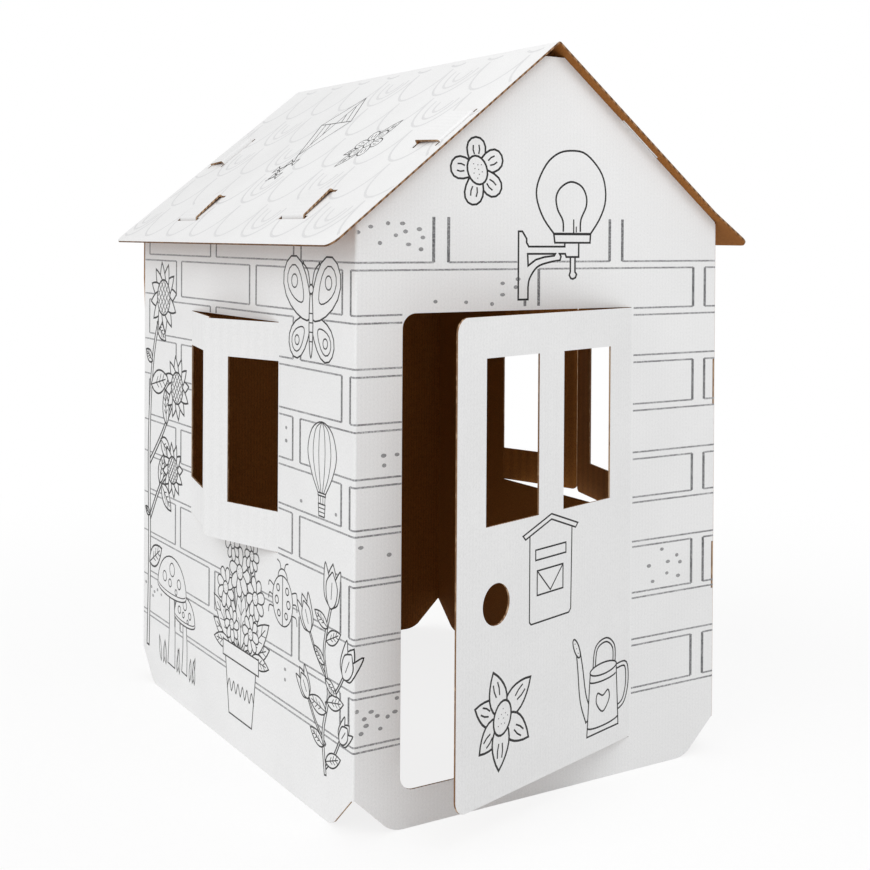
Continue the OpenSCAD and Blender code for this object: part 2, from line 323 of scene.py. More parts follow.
@dataclass(frozen=True)
class PaperFinish:
    """A liner sheet over the fluted core, white or brown.

    Attributes:
        name: The material's name.
        light: Colour between the fibres.
        dark: Colour of the fibres' shade.
        flute_axis: Scale of the flutes' coordinates: across x and y on walls, along y on the roof.
        flute_pitch: Distance between flutes, in metres.
        flute_tone: How strongly the flutes show in the colour.
        flute_depth: How deep the flutes show in the surface, in metres.
        fibre_tone: How strongly the fibres show.
        roughness: The surface's roughness.
    """

    name: str
    light: Colour
    dark: Colour
    flute_axis: Colour = (1.0, 1.0, 0.0)
    flute_pitch: float = 0.0065
    flute_tone: float = 0.035
    flute_depth: float = 0.000012
    fibre_tone: float = 0.5
    roughness: float = 0.72

    def build(self) -> bpy.types.Material:
        """Makes the material.

        Returns:
            The material.
        """
        graph = Graph(self.name)
        plain = graph.stretched((1.0, 1.0, 1.0))
        fibres = graph.noise(graph.stretched((1.0, 1.0, 0.35)), 900.0, 4.0)
        clouds = graph.noise(plain, 7.0, 3.0)
        specks = graph.noise(plain, 2600.0, 2.0)
        flutes = graph.waves(graph.stretched(self.flute_axis), self.flute_pitch, 0.6)
        base = graph.ramp(fibres, "Fac", ((0.3, self.dark), (0.62, self.light)))
        cloud = graph.ramp(clouds, "Fac", ((0.3, (0.94, 0.94, 0.94)), (0.7, (1.0, 1.0, 1.0))))
        band = graph.ramp(flutes, "Fac", ((0.2, (0.55, 0.55, 0.55)), (0.8, (1.0, 1.0, 1.0))))
        speck = graph.ramp(specks, "Fac", ((0.34, (0.5, 0.49, 0.48)), (0.42, (1.0, 1.0, 1.0))))
        shade = graph.mix("MULTIPLY", 0.6, base, cloud)
        shade = graph.mix("MULTIPLY", self.flute_tone, shade, band)
        shade = graph.mix("MULTIPLY", self.fibre_tone * 0.3, shade, speck)
        graph.colour(shade)
        graph.bump(((flutes, "Fac", self.flute_depth), (fibres, "Fac", 0.000012), (clouds, "Fac", 0.0009)))
        return graph.finish(self.roughness, 0.22)


@dataclass(frozen=True)
class CutEdgeFinish:
    """The cut edge of corrugated card: two liners with a waved core between them.

    Attributes:
        name: The material's name.
        light: Colour of the liners' edges.
        dark: Colour of the hollows between the flutes, painted shade standing in for the open channels.
        pitch: Distance between flutes, in metres.
        axis: Scale of the flutes' coordinates.
    """

    name: str
    light: Colour
    dark: Colour
    pitch: float = 0.0065
    axis: Colour = (1.0, 1.0, 0.6)

    def build(self) -> bpy.types.Material:
        """Makes the material.

        Returns:
            The material.
        """
        graph = Graph(self.name)
        arches = graph.waves(graph.stretched(self.axis), self.pitch, 2.5)
        rough = graph.noise(graph.stretched((1.0, 1.0, 1.0)), 1400.0, 4.0)
        # The ramp's dark stop is painted shade in the hollows between the flutes.
        flutes_and_painted_hollow_shade = graph.ramp(arches, "Fac", ((0.25, self.dark), (0.7, self.light)))
        torn = graph.ramp(rough, "Fac", ((0.35, (0.62, 0.6, 0.58)), (0.62, (1.0, 1.0, 1.0))))
        graph.colour(graph.mix("MULTIPLY", 0.8, flutes_and_painted_hollow_shade, torn))
        graph.bump(((arches, "Fac", 0.0004), (rough, "Fac", 0.00008)))
        return graph.finish(0.9, 0.1)


@dataclass(frozen=True)
class InkFinish:
    """Printed ink, a little uneven where it sank into the paper.

    Attributes:
        name: The material's name.
        full: Colour where the ink is full.
        thin: Colour where the ink is thin.
        grain: Cells of the unevenness per metre.
    """

    name: str
    full: Colour
    thin: Colour
    grain: float = 700.0

    def build(self) -> bpy.types.Material:
        """Makes the material.

        Returns:
            The material.
        """
        graph = Graph(self.name)
        plain = graph.stretched((1.0, 1.0, 1.0))
        sunk = graph.noise(plain, self.grain, 4.0)
        drift = graph.noise(plain, 40.0, 2.0)
        spots = graph.ramp(sunk, "Fac", ((0.42, self.full), (0.66, self.thin)))
        wide = graph.ramp(drift, "Fac", ((0.35, self.full), (0.75, self.thin)))
        graph.colour(graph.mix("MIX", 0.3, spots, wide))
        graph.bump(((sunk, "Fac", 0.00001),))
        return graph.finish(0.5, 0.3)


@dataclass(frozen=True)
class FloorFinish:
    """A plain pale studio floor that the camera sees go over into the white background.

    Attributes:
        name: The material's name.
        light: The floor's colour.
        dark: The colour of its faint clouding.
        glow: How far the camera sees the floor as the background beside the house.
        near: Radius in metres up to which that share holds.
        far: Radius in metres from which the floor is the background.
    """

    name: str = "studio_floor"
    light: Colour = (0.985, 0.985, 0.985)
    dark: Colour = (0.97, 0.97, 0.97)
    glow: float = 0.84
    near: float = 0.7
    far: float = 2.4

    def build(self) -> bpy.types.Material:
        """Makes the material.

        Returns:
            The material.
        """
        graph = Graph(self.name)
        clouds = graph.noise(graph.stretched((1.0, 1.0, 1.0)), 2.5, 2.0)
        graph.colour(graph.ramp(clouds, "Fac", ((0.35, self.dark), (0.65, self.light))))
        grain = graph.noise(graph.stretched((1.0, 1.0, 1.0)), 300.0, 2.0)
        graph.bump(((grain, "Fac", 0.00002),))
        self._fade(graph)
        return graph.finish(0.95, 0.0)

    def _fade(self, graph: Graph) -> None:
        """Blends the floor with the background's white for camera rays.

        Args:
            graph: The floor's graph.
        """
        nodes = graph.tree.nodes
        radius = nodes.new("ShaderNodeVectorMath")
        radius.operation = "LENGTH"
        graph.link(graph.place, "Object", radius, "Vector")
        share = nodes.new("ShaderNodeMapRange")
        share.interpolation_type = "SMOOTHSTEP"
        graph.link(radius, "Value", share, "Value")
        for socket, value in (("From Min", self.near), ("From Max", self.far), ("To Min", self.glow),
                              ("To Max", 1.0)):
            share.inputs[socket].default_value = value
        seen = nodes.new("ShaderNodeMath")
        seen.operation = "MULTIPLY"
        graph.tree.links.new(background_rays(graph.tree), seen.inputs[0])
        graph.tree.links.new(share.outputs["Result"], seen.inputs[1])
        white = nodes.new("ShaderNodeEmission")
        white.inputs["Color"].default_value = (1.0, 1.0, 1.0, 1.0)
        white.inputs["Strength"].default_value = 1.0
        blend = nodes.new("ShaderNodeMixShader")
        graph.tree.links.new(seen.outputs["Value"], blend.inputs["Fac"])
        graph.tree.links.new(graph.shader.outputs["BSDF"], blend.inputs[1])
        graph.tree.links.new(white.outputs["Emission"], blend.inputs[2])
        graph.link(blend, "Shader", graph.output, "Surface")


def background_rays(tree: bpy.types.NodeTree) -> bpy.types.NodeSocket:
    """Adds up the rays that show the background: seen, reflected and let through.

    Args:
        tree: The material's or the world's node tree.

    Returns:
        A socket that is 1 for such a ray and 0 for light on the house.
    """
    rays = tree.nodes.new("ShaderNodeLightPath")
    total = rays.outputs["Is Camera Ray"]
    for name in ("Is Glossy Ray", "Is Transmission Ray"):
        either = tree.nodes.new("ShaderNodeMath")
        either.operation = "MAXIMUM"
        tree.links.new(total, either.inputs[0])
        tree.links.new(rays.outputs[name], either.inputs[1])
        total = either.outputs["Value"]
    return total


class Finishes:
    """All materials, made once."""

    def __init__(self) -> None:
        """Makes the card's and the inks' materials."""
        white = tone(243, 243, 243)
        shade = tone(233, 233, 233)
        kraft = tone(176, 114, 52)
        bark = tone(136, 82, 30)
        across_roof = (0.0, 1.0, 0.0)
        self.white = PaperFinish("white_liner", white, shade).build()
        self.kraft = PaperFinish(
            "kraft_liner", kraft, bark, flute_tone=0.28, flute_depth=0.00006,
            fibre_tone=1.0, roughness=0.8).build()
        # The cut edges' second colour is painted shade in the flute hollows.
        self.edge = CutEdgeFinish("cut_edge", tone(194, 162, 130), tone(134, 102, 74)).build()
        # The walls' white card, painted a little lighter as light falling on the upward-facing slopes.
        self.roof_white_with_painted_light = PaperFinish(
            "roof_white_liner", tone(245, 245, 245), tone(235, 235, 235), flute_axis=across_roof).build()
        self.roof_kraft = PaperFinish(
            "roof_kraft_liner", kraft, bark, flute_axis=across_roof, flute_tone=0.28,
            flute_depth=0.00006, fibre_tone=1.0, roughness=0.8).build()
        # The same cut card as the walls' edges, painted darker as shade on the roof's edges.
        self.roof_edge_painted_shade = CutEdgeFinish(
            "roof_cut_edge_painted_shade", tone(166, 130, 98), tone(116, 84, 58), axis=(0.6, 1.0, 0.3)).build()
        self.line = InkFinish("line_ink", tone(24, 23, 24), tone(54, 52, 52)).build()
        self.level = InkFinish("level_joint_ink", tone(116, 116, 118), tone(206, 206, 207), 380.0).build()
        self.upright = InkFinish("upright_joint_ink", tone(84, 84, 86), tone(170, 170, 171), 380.0).build()
        self.stipple = InkFinish("stipple_ink", tone(132, 132, 133), tone(180, 180, 180)).build()
        self.shingle = InkFinish("shingle_ink", tone(214, 214, 215), tone(229, 229, 229)).build()


class CardSheet:
    """One folded sheet of the frame, given its white, brown and cut faces."""

    OUTER, INNER, CUT = range(3)

    def __init__(self, node: str, slot: Slot, materials: Sequence[bpy.types.Material], is_roof: bool) -> None:
        """Names the sheet and its finishes.

        Args:
            node: The frame's node.
            slot: The sheet's slot name.
            materials: The outer, inner and cut faces' materials.
            is_roof: Whether the outer side is the upper one.
        """
        self.node = node
        self.slot = slot
        self.materials = materials
        self.is_roof = is_roof

    def build(self, nodes: dict[str, bpy.types.Object]) -> bpy.types.Object:
        """Makes the visible sheet, which replaces the frame's node.

        Args:
            nodes: The frame's nodes.

        Returns:
            The sheet.
        """
        source = nodes[self.node]
        bm = bmesh.new()
        bm.from_mesh(source.data)
        bm.transform(source.matrix_world)
        bmesh.ops.remove_doubles(bm, verts=bm.verts, dist=0.000004)
        bmesh.ops.dissolve_degenerate(bm, edges=bm.edges, dist=0.000002)
        bmesh.ops.recalc_face_normals(bm, faces=bm.faces)
        bm.normal_update()
        tree = BVHTree.FromBMesh(bm)
        for face in bm.faces:
            face.material_index = self._side(face, tree)
            face.smooth = self._is_curved(face)
        mesh = bpy.data.meshes.new(f"{self.node}_card")
        bm.to_mesh(mesh)
        bm.free()
        for material in self.materials:
            mesh.materials.append(material)
        piece = bpy.data.objects.new(f"{self.node}_card", mesh)
        bpy.context.scene.collection.objects.link(piece)
        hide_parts(self.node)
        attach(piece, "root")
        return piece

    def _side(self, face: bmesh.types.BMFace, tree: BVHTree) -> int:
        """Tells the printed side from the brown one and from a cut edge.

        Args:
            face: The face.
            tree: The sheet's faces, for a ray.

        Returns:
            The face's material index.
        """
        middle = face.calc_center_median()
        normal = face.normal
        _, other, _, distance = tree.ray_cast(middle - normal * 0.00002, -normal, 0.0045)
        if other is None or distance < 0.002 or other.dot(normal) > -0.8:
            return self.CUT
        if self.is_roof or abs(normal.z) > 0.25:
            return self.OUTER if normal.z > 0 else self.INNER
        away = Vector((middle.x - HOUSE_X * MM, middle.y - HOUSE_Y * MM, 0.0))
        return self.OUTER if away.dot(normal) > 0 else self.INNER

    @staticmethod
    def _is_curved(face: bmesh.types.BMFace) -> bool:
        """Tells the narrow facets of a bend from flat faces.

        Args:
            face: The face.

        Returns:
            Whether the face belongs to a bend.
        """
        longest = max(edge.calc_length() for edge in face.edges)
        if longest < 1e-7 or 2 * face.calc_area() / longest > 0.0025:
            return False
        return any(
            len(edge.link_faces) == 2 and 0.004 < edge.calc_face_angle(0.0) < 0.35
            for edge in face.edges)


def turned(points: Iterable[Point], at: Point, angle: float, scale: float = 1.0) -> list[Point]:
    """Turns, scales and moves points.

    Args:
        points: Points around the origin.
        at: Where the origin goes.
        angle: Turn in degrees, anticlockwise.
        scale: The scale.

    Returns:
        The moved points.
    """
    c = math.cos(math.radians(angle)) * scale
    s = math.sin(math.radians(angle)) * scale
    return [(at[0] + x * c - y * s, at[1] + x * s + y * c) for x, y in points]


def ellipse(at: Point, ru: float, rv: float, angle: float = 0.0, steps: int = 28) -> list[Point]:
    """A closed ellipse.

    Args:
        at: Its middle.
        ru: Its first radius.
        rv: Its second radius.
        angle: Turn in degrees.
        steps: How many points.

    Returns:
        Its points.
    """
    ring = [(ru * math.cos(math.tau * i / steps), rv * math.sin(math.tau * i / steps)) for i in range(steps)]
    return turned(ring, at, angle)


def arc(at: Point, ru: float, rv: float, start: float, end: float, steps: int = 12) -> list[Point]:
    """An open arc of an ellipse.

    Args:
        at: The ellipse's middle.
        ru: Its radius along u.
        rv: Its radius along v.
        start: First angle in degrees.
        end: Last angle in degrees.
        steps: How many parts.

    Returns:
        Its points.
    """
    angles = [math.radians(start + (end - start) * i / steps) for i in range(steps + 1)]
    return [(at[0] + ru * math.cos(a), at[1] + rv * math.sin(a)) for a in angles]


def smooth(points: Sequence[Point], closed: bool = False, steps: int = 5) -> list[Point]:
    """A flowing line through points.

    Args:
        points: The points that it goes through.
        closed: Whether it comes back to its start.
        steps: How many parts between two points.

    Returns:
        The line's points.
    """
    count = len(points)
    line: list[Point] = []
    for i in range(count if closed else count - 1):
        quad = [
            points[j % count] if closed else points[min(max(j, 0), count - 1)]
            for j in (i - 1, i, i + 1, i + 2)
        ]
        for k in range(steps):
            line.append(_between(quad, k / steps))
    if not closed:
        line.append(points[-1])
    return line


def _between(quad: Sequence[Point], t: float) -> Point:
    """A point of a Catmull-Rom span.

    Args:
        quad: The span's four control points.
        t: The share of the way from the second to the third.

    Returns:
        The point.
    """
    result = []
    for a, b, c, d in zip(*quad):
        result.append(0.5 * (2 * b + (c - a) * t + (2 * a - 5 * b + 4 * c - d) * t * t
                             + (3 * b - a - 3 * c + d) * t ** 3))
    return (result[0], result[1])


def petal(at: Point, angle: float, length: float, breadth: float, pointed: bool = False) -> list[Point]:
    """A closed petal or leaf outline.

    Args:
        at: Its base.
        angle: Its direction in degrees.
        length: Its length.
        breadth: Its greatest width.
        pointed: Whether it ends in a point.

    Returns:
        Its points.
    """
    side: list[Point] = []
    for i in range(9):
        t = i / 8
        if pointed:
            swell = breadth / 2 * math.sin(math.pi * t ** 0.85) ** 0.85 if 0 < i < 8 else 0.0
            side.append((length * t, swell))
        else:
            along = (1 - math.cos(math.pi * t)) / 2
            half = math.sin(math.pi * t) * (0.55 + 0.55 * along) if 0 < i < 8 else 0.0
            side.append((length * along, breadth / 2 * half))
    return turned(side + [(x, -y) for x, y in reversed(side[1:-1])], at, angle)


def normals(points: Sequence[Point], closed: bool) -> list[Point]:
    """Mitred normals of a line, to its left.

    Args:
        points: The line's points.
        closed: Whether it comes back to its start.

    Returns:
        One vector for each point, longer at a corner.
    """
    count = len(points)
    sides: list[Point] = []
    for i in range(count if closed else count - 1):
        (x0, y0), (x1, y1) = points[i], points[(i + 1) % count]
        length = math.hypot(x1 - x0, y1 - y0) or 1.0
        sides.append(((y0 - y1) / length, (x1 - x0) / length))
    result: list[Point] = []
    for i in range(count):
        before = sides[i - 1] if closed or i > 0 else sides[0]
        after = sides[i % len(sides)] if closed or i < count - 1 else sides[-1]
        mx, my = before[0] + after[0], before[1] + after[1]
        length = math.hypot(mx, my)
        if length < 0.2:
            result.append(before)
            continue
        mx, my = mx / length, my / length
        stretch = 1 / max(0.45, mx * before[0] + my * before[1])
        result.append((mx * stretch, my * stretch))
    return result


def band(points: Sequence[Point], start: float, end: float) -> list[Point]:
    """A closed outline around a line.

    Args:
        points: The line's points.
        start: The outline's width at the first point.
        end: Its width at the last point.

    Returns:
        The outline.
    """
    last = len(points) - 1
    left: list[Point] = []
    right: list[Point] = []
    for i, ((u, v), (nu, nv)) in enumerate(zip(points, normals(points, False))):
        half = (start + (end - start) * i / last) / 2
        left.append((u + nu * half, v + nv * half))
        right.append((u - nu * half, v - nv * half))
    return left + right[::-1]


def box(u0: float, v0: float, u1: float, v1: float) -> list[Point]:
    """A closed rectangle.

    Args:
        u0: Left edge.
        v0: Lower edge.
        u1: Right edge.
        v1: Upper edge.

    Returns:
        Its corners.
    """
    return [(u0, v0), (u1, v0), (u1, v1), (u0, v1)]


def holds(outline: Sequence[Point], point: Point) -> bool:
    """Tells whether a point is inside an outline.

    Args:
        outline: The outline.
        point: The point.

    Returns:
        Whether it is inside.
    """
    x, y = point
    inside = False
    x0, y0 = outline[-1]
    for x1, y1 in outline:
        if (y0 > y) != (y1 > y) and x < (x1 - x0) * (y - y0) / (y1 - y0) + x0:
            inside = not inside
        x0, y0 = x1, y1
    return inside


@dataclass
class Stroke:
    """One drawn line.

    Attributes:
        points: Its points, in millimetres on its face.
        width: Its width in millimetres.
        closed: Whether it comes back to its start.
    """

    points: list[Point]
    width: float
    closed: bool = False

    def bounds(self) -> tuple[float, float, float, float]:
        """Gives the line's box.

        Returns:
            Its left, lower, right and upper ends.
        """
        us, vs = zip(*self.points)
        return (min(us), min(vs), max(us), max(vs))

    def outside(self, outline: Sequence[Point], reach: tuple[float, float, float, float]) -> list["Stroke"]:
        """Gives what is left of the line outside an outline.

        Args:
            outline: The outline that hides it.
            reach: The outline's box.

        Returns:
            The lines that are left.
        """
        u0, v0, u1, v1 = self.bounds()
        if u1 < reach[0] or u0 > reach[2] or v1 < reach[1] or v0 > reach[3]:
            return [self]
        line = self.points + self.points[:1] if self.closed else self.points
        runs: list[list[Point]] = []
        run: list[Point] = []
        lost = False
        for a, b in zip(line, line[1:]):
            stops = [0.0, *_crossings(a, b, outline), 1.0]
            for s, e in zip(stops, stops[1:]):
                if e - s < 1e-7:
                    continue
                m = (s + e) / 2
                if holds(outline, (a[0] + (b[0] - a[0]) * m, a[1] + (b[1] - a[1]) * m)):
                    lost = True
                    if run:
                        runs.append(run)
                    run = []
                    continue
                if not run:
                    run = [(a[0] + (b[0] - a[0]) * s, a[1] + (b[1] - a[1]) * s)]
                run.append((a[0] + (b[0] - a[0]) * e, a[1] + (b[1] - a[1]) * e))
        if not lost:
            return [self]
        if run:
            runs.append(run)
        if self.closed and len(runs) > 1 and math.dist(runs[-1][-1], runs[0][0]) < 1e-6:
            runs[0] = runs.pop() + runs[0][1:]
        return [Stroke(r, self.width) for r in runs if _length(r) > 1.5]


def _crossings(a: Point, b: Point, outline: Sequence[Point]) -> list[float]:
    """Where a straight part of a line meets an outline.

    Args:
        a: The part's start.
        b: The part's end.
        outline: The outline.

    Returns:
        The shares of the way from a to b, in order.
    """
    dx, dy = b[0] - a[0], b[1] - a[1]
    found = []
    x0, y0 = outline[-1]
    for x1, y1 in outline:
        ex, ey = x1 - x0, y1 - y0
        area = dx * ey - dy * ex
        if abs(area) > 1e-12:
            t = ((x0 - a[0]) * ey - (y0 - a[1]) * ex) / area
            s = ((x0 - a[0]) * dy - (y0 - a[1]) * dx) / area
            if 0 < t < 1 and 0 <= s <= 1:
                found.append(t)
        x0, y0 = x1, y1
    return sorted(found)


def _length(points: Sequence[Point]) -> float:
    """Measures a line.

    Args:
        points: The line's points.

    Returns:
        Its length.
    """
    return sum(math.dist(a, b) for a, b in zip(points, points[1:]))


@dataclass(frozen=True)
class Dot:
    """One printed dot.

    Attributes:
        at: Its middle, in millimetres on its face.
        ru: Its radius along u.
        rv: Its radius along v.
    """

    at: Point
    ru: float
    rv: float


class Layer:
    """The lines and dots of one ink on one face."""

    def __init__(self) -> None:
        """Starts an empty layer."""
        self.strokes: list[Stroke] = []
        self.dots: list[Dot] = []

    def erase(self, outline: Sequence[Point]) -> None:
        """Takes away what lies inside an outline.

        Args:
            outline: The outline.
        """
        us, vs = zip(*outline)
        reach = (min(us), min(vs), max(us), max(vs))
        kept: list[Stroke] = []
        for stroke in self.strokes:
            kept.extend(stroke.outside(outline, reach))
        self.strokes = kept
        self.dots = [dot for dot in self.dots if not holds(outline, dot.at)]


class Face(Protocol):
    """Somewhere that a drawing can be printed."""

    def place(self, u: float, v: float, lift: float) -> Vector:
        """Puts a drawn point on the card."""

    def stops(self) -> list[tuple[int, float]]:
        """Gives the axes and places where a line has to bend with the card."""


@dataclass(frozen=True)
class Panel:
    """A flat face.

    Attributes:
        origin: The drawing's origin, in millimetres from the house's middle.
        across: Unit vector along u.
        up: Unit vector along v.
    """

    origin: Colour
    across: Colour
    up: Colour

    def place(self, u: float, v: float, lift: float) -> Vector:
        """Puts a drawn point on the card.

        Args:
            u: Distance across.
            v: Distance up.
            lift: Height over the card.

        Returns:
            The point in the frame, in metres.
        """
        across, up = Vector(self.across), Vector(self.up)
        point = Vector(self.origin) + across * u + up * v + across.cross(up) * lift
        return (point + Vector((HOUSE_X, HOUSE_Y, 0.0))) * MM

    def stops(self) -> list[tuple[int, float]]:
        """Gives the axes and places where a line has to bend with the card.

        Returns:
            Nothing, because the face is flat.
        """
        return []


@dataclass(frozen=True)
class Kinked:
    """A slope whose lower strip lies at another angle.

    Attributes:
        upper: The slope, with v as 0 at the ridge.
        lower: The strip, with v as 0 at the crease.
        crease: The crease's distance from the ridge, down the slope.
    """

    upper: Panel
    lower: Panel
    crease: float

    def place(self, u: float, v: float, lift: float) -> Vector:
        """Puts a drawn point on the card.

        Args:
            u: Distance across.
            v: Distance up from the ridge.
            lift: Height over the card.

        Returns:
            The point in the frame, in metres.
        """
        if v >= -self.crease:
            return self.upper.place(u, v, lift)
        return self.lower.place(u, v + self.crease, lift)

    def stops(self) -> list[tuple[int, float]]:
        """Gives the axes and places where a line has to bend with the card.

        Returns:
            The crease.
        """
        return [(1, -self.crease)]


@dataclass(frozen=True)
class Wrap:
    """The upright outer faces of a folded sheet, unrolled into one.

    Attributes:
        path: The outer faces' corners seen from above, the outside on the right-hand side.
        start: The value of u at the path's first point.
        radius: The folds' outer radius.
    """

    path: tuple[Point, ...]
    start: float
    radius: float

    def _legs(self) -> Iterator[tuple[float, float, Vector, Vector]]:
        """Walks along the path.

        Yields:
            Each leg's first and last u, its first point and its direction.
        """
        u = self.start
        for a, b in zip(self.path, self.path[1:]):
            first, last = Vector((*a, 0.0)), Vector((*b, 0.0))
            length = (last - first).length
            yield u, u + length, first, (last - first) / length
            u += length

    def place(self, u: float, v: float, lift: float) -> Vector:
        """Puts a drawn point on the card.

        Args:
            u: Distance round the walls.
            v: Height.
            lift: Height over the card.

        Returns:
            The point in the frame, in metres.
        """
        legs = list(self._legs())
        index = next((i for i, leg in enumerate(legs) if u <= leg[1]), len(legs) - 1)
        u0, u1, first, along = legs[index]
        out = Vector((along.y, -along.x, 0.0))
        r = self.radius
        if index + 1 < len(legs) and u > u1 - r:
            point = self._bent(legs[index], legs[index + 1], (u - u1 + r) / (2 * r), lift)
        elif index > 0 and u < u0 + r:
            point = self._bent(legs[index - 1], legs[index], (u - u0 + r) / (2 * r), lift)
        else:
            point = first + along * (u - u0) + out * lift
        return (point + Vector((HOUSE_X, HOUSE_Y, v))) * MM

    def _bent(self, before: tuple, after: tuple, share: float, lift: float) -> Vector:
        """A point on a fold.

        Args:
            before: The leg before it.
            after: The leg after it.
            share: How far round the fold.
            lift: Height over the card.

        Returns:
            The point, in millimetres.
        """
        corner, one, two = after[2], before[3], after[3]
        centre = corner - one * self.radius + two * self.radius
        turn = share * math.pi / 2
        out = Vector((one.y, -one.x, 0.0)) * math.cos(turn) + Vector((two.y, -two.x, 0.0)) * math.sin(turn)
        return centre + out * (self.radius + lift)

    def stops(self) -> list[tuple[int, float]]:
        """Gives the axes and places where a line has to bend with the card.

        Returns:
            Places at each fold.
        """
        folds = [leg[1] for leg in self._legs()][:-1]
        return [(0, fold + self.radius * k / 3) for fold in folds for k in range(-3, 4)]


class InkMesh:
    """A mesh of thin raised ribbons and dots on a face."""

    CROWN = 0.06

    def __init__(self, face: Face, lift: float) -> None:
        """Starts an empty mesh.

        Args:
            face: The face that it lies on.
            lift: Its height over the card, in millimetres.
        """
        self.face = face
        self.lift = lift
        self.bm = bmesh.new()

    def add(self, layer: Layer) -> None:
        """Draws a layer.

        Args:
            layer: The layer.
        """
        for stroke in layer.strokes:
            self._ribbon(stroke)
        for dot in layer.dots:
            self._dot(dot)

    def _split(self, points: Sequence[Point], closed: bool) -> list[Point]:
        """Adds points where the card bends and drops doubled ones.

        Args:
            points: The line's points.
            closed: Whether it comes back to its start.

        Returns:
            The new points.
        """
        line = list(points) + list(points[:1]) if closed else list(points)
        stops = self.face.stops()
        result = [line[0]]
        for a, b in zip(line, line[1:]):
            span = (b[0] - a[0], b[1] - a[1])
            shares = [(stop - a[axis]) / span[axis] for axis, stop in stops if abs(span[axis]) > 1e-6]
            for share in sorted(share for share in shares if 0.001 < share < 0.999):
                result.append((a[0] + span[0] * share, a[1] + span[1] * share))
            if math.dist(result[-1], b) > 0.08:
                result.append(b)
        if closed and math.dist(result[0], result[-1]) < 0.08:
            result.pop()
        return result

    def _ribbon(self, stroke: Stroke) -> None:
        """Draws one line as a closed strip with a low crown.

        Args:
            stroke: The line.
        """
        points = self._split(stroke.points, stroke.closed)
        if len(points) < (3 if stroke.closed else 2):
            return
        half = stroke.width / 2
        rows = []
        for (u, v), (nu, nv) in zip(points, normals(points, stroke.closed)):
            rows.append((
                self.bm.verts.new(self.face.place(u + nu * half, v + nv * half, self.lift)),
                self.bm.verts.new(self.face.place(u, v, self.lift + self.CROWN)),
                self.bm.verts.new(self.face.place(u - nu * half, v - nv * half, self.lift))))
        pairs = list(zip(rows, rows[1:] + rows[:1])) if stroke.closed else list(zip(rows, rows[1:]))
        for (l0, c0, r0), (l1, c1, r1) in pairs:
            self.bm.faces.new((r0, r1, c1, c0))
            self.bm.faces.new((c0, c1, l1, l0))
            self.bm.faces.new((l0, l1, r1, r0))
        if not stroke.closed:
            self.bm.faces.new((rows[0][2], rows[0][1], rows[0][0]))
            self.bm.faces.new((rows[-1][0], rows[-1][1], rows[-1][2]))

    def _dot(self, dot: Dot) -> None:
        """Draws one dot as a low closed cap.

        Args:
            dot: The dot.
        """
        steps = 8 if dot.ru < 2 else 12
        rim = [self.bm.verts.new(self.face.place(u, v, self.lift))
               for u, v in ellipse(dot.at, dot.ru, dot.rv, 0.0, steps)]
        top = self.bm.verts.new(self.face.place(dot.at[0], dot.at[1], self.lift + self.CROWN))
        for a, b in zip(rim, rim[1:] + rim[:1]):
            self.bm.faces.new((a, b, top))
        self.bm.faces.new(rim[::-1])

    def finish(self, name: str, material: bpy.types.Material, slot: Slot) -> bpy.types.Object | None:
        """Makes the piece.

        Args:
            name: The piece's name.
            material: Its ink.
            slot: Not used.

        Returns:
            The piece, or nothing where the layer is empty.
        """
        if not self.bm.faces:
            self.bm.free()
            return None
        mesh = bpy.data.meshes.new(name)
        self.bm.to_mesh(mesh)
        self.bm.free()
        mesh.materials.append(material)
        piece = bpy.data.objects.new(name, mesh)
        bpy.context.scene.collection.objects.link(piece)
        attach(piece, "root")
        return piece


class Page:
    """The drawing on one face: a pale pattern below, line art on top of it."""

    def __init__(self, name: str, face: Face, slot: Slot) -> None:
        """Starts an empty page.

        Args:
            name: The start of its pieces' names.
            face: The face that it is printed on.
            slot: The slot of the card that carries it.
        """
        self.name = name
        self.face = face
        self.slot = slot
        self.pattern = Layer()
        self.uprights = Layer()
        self.specks = Layer()
        self.art = Layer()

    def clear(self, outline: Sequence[Point]) -> None:
        """Takes away all that lies inside an outline.

        Args:
            outline: The outline.
        """
        for layer in (self.pattern, self.uprights, self.specks, self.art):
            layer.erase(outline)

    def shape(self, outline: Sequence[Point], width: float) -> None:
        """Draws a closed shape that hides what was drawn before.

        Args:
            outline: Its outline.
            width: Its line's width.
        """
        self.clear(outline)
        self.art.strokes.append(Stroke(list(outline), width, True))

    def line(self, points: Sequence[Point], width: float) -> None:
        """Draws an open line.

        Args:
            points: Its points.
            width: Its width.
        """
        self.art.strokes.append(Stroke(list(points), width))

    def leaf(self, at: Point, angle: float, length: float, breadth: float, width: float) -> None:
        """Draws a pointed leaf with its veins.

        Args:
            at: Its base.
            angle: Its direction in degrees.
            length: Its length.
            breadth: Its width.
            width: Its line's width.
        """
        self.shape(petal(at, angle, length, breadth, True), width)
        self.line(turned([(0, 0), (length * 0.84, 0)], at, angle), width * 0.7)
        for share in (0.3, 0.48, 0.66):
            reach = breadth * 0.3 * math.sin(math.pi * share)
            for side in (-1, 1):
                vein = [(length * share, 0), (length * (share + 0.13), side * reach)]
                self.line(turned(vein, at, angle), width * 0.6)

    def print(self, finishes: Finishes, pattern: bpy.types.Material) -> int:
        """Makes the page's pieces.

        Args:
            finishes: The materials.
            pattern: The pale pattern's ink.

        Returns:
            How many triangles they have.
        """
        total = 0
        for suffix, layer, lift, ink in (
                ("pattern", self.pattern, 0.04, pattern),
                ("uprights", self.uprights, 0.045, finishes.upright),
                ("specks", self.specks, 0.04, finishes.stipple),
                ("line_art", self.art, 0.07, finishes.line)):
            mesh = InkMesh(self.face, lift)
            mesh.add(layer)
            piece = mesh.finish(f"{self.name}_{suffix}", ink, self.slot)
            if piece is not None:
                total += sum(len(p.vertices) - 2 for p in piece.data.polygons)
        return total


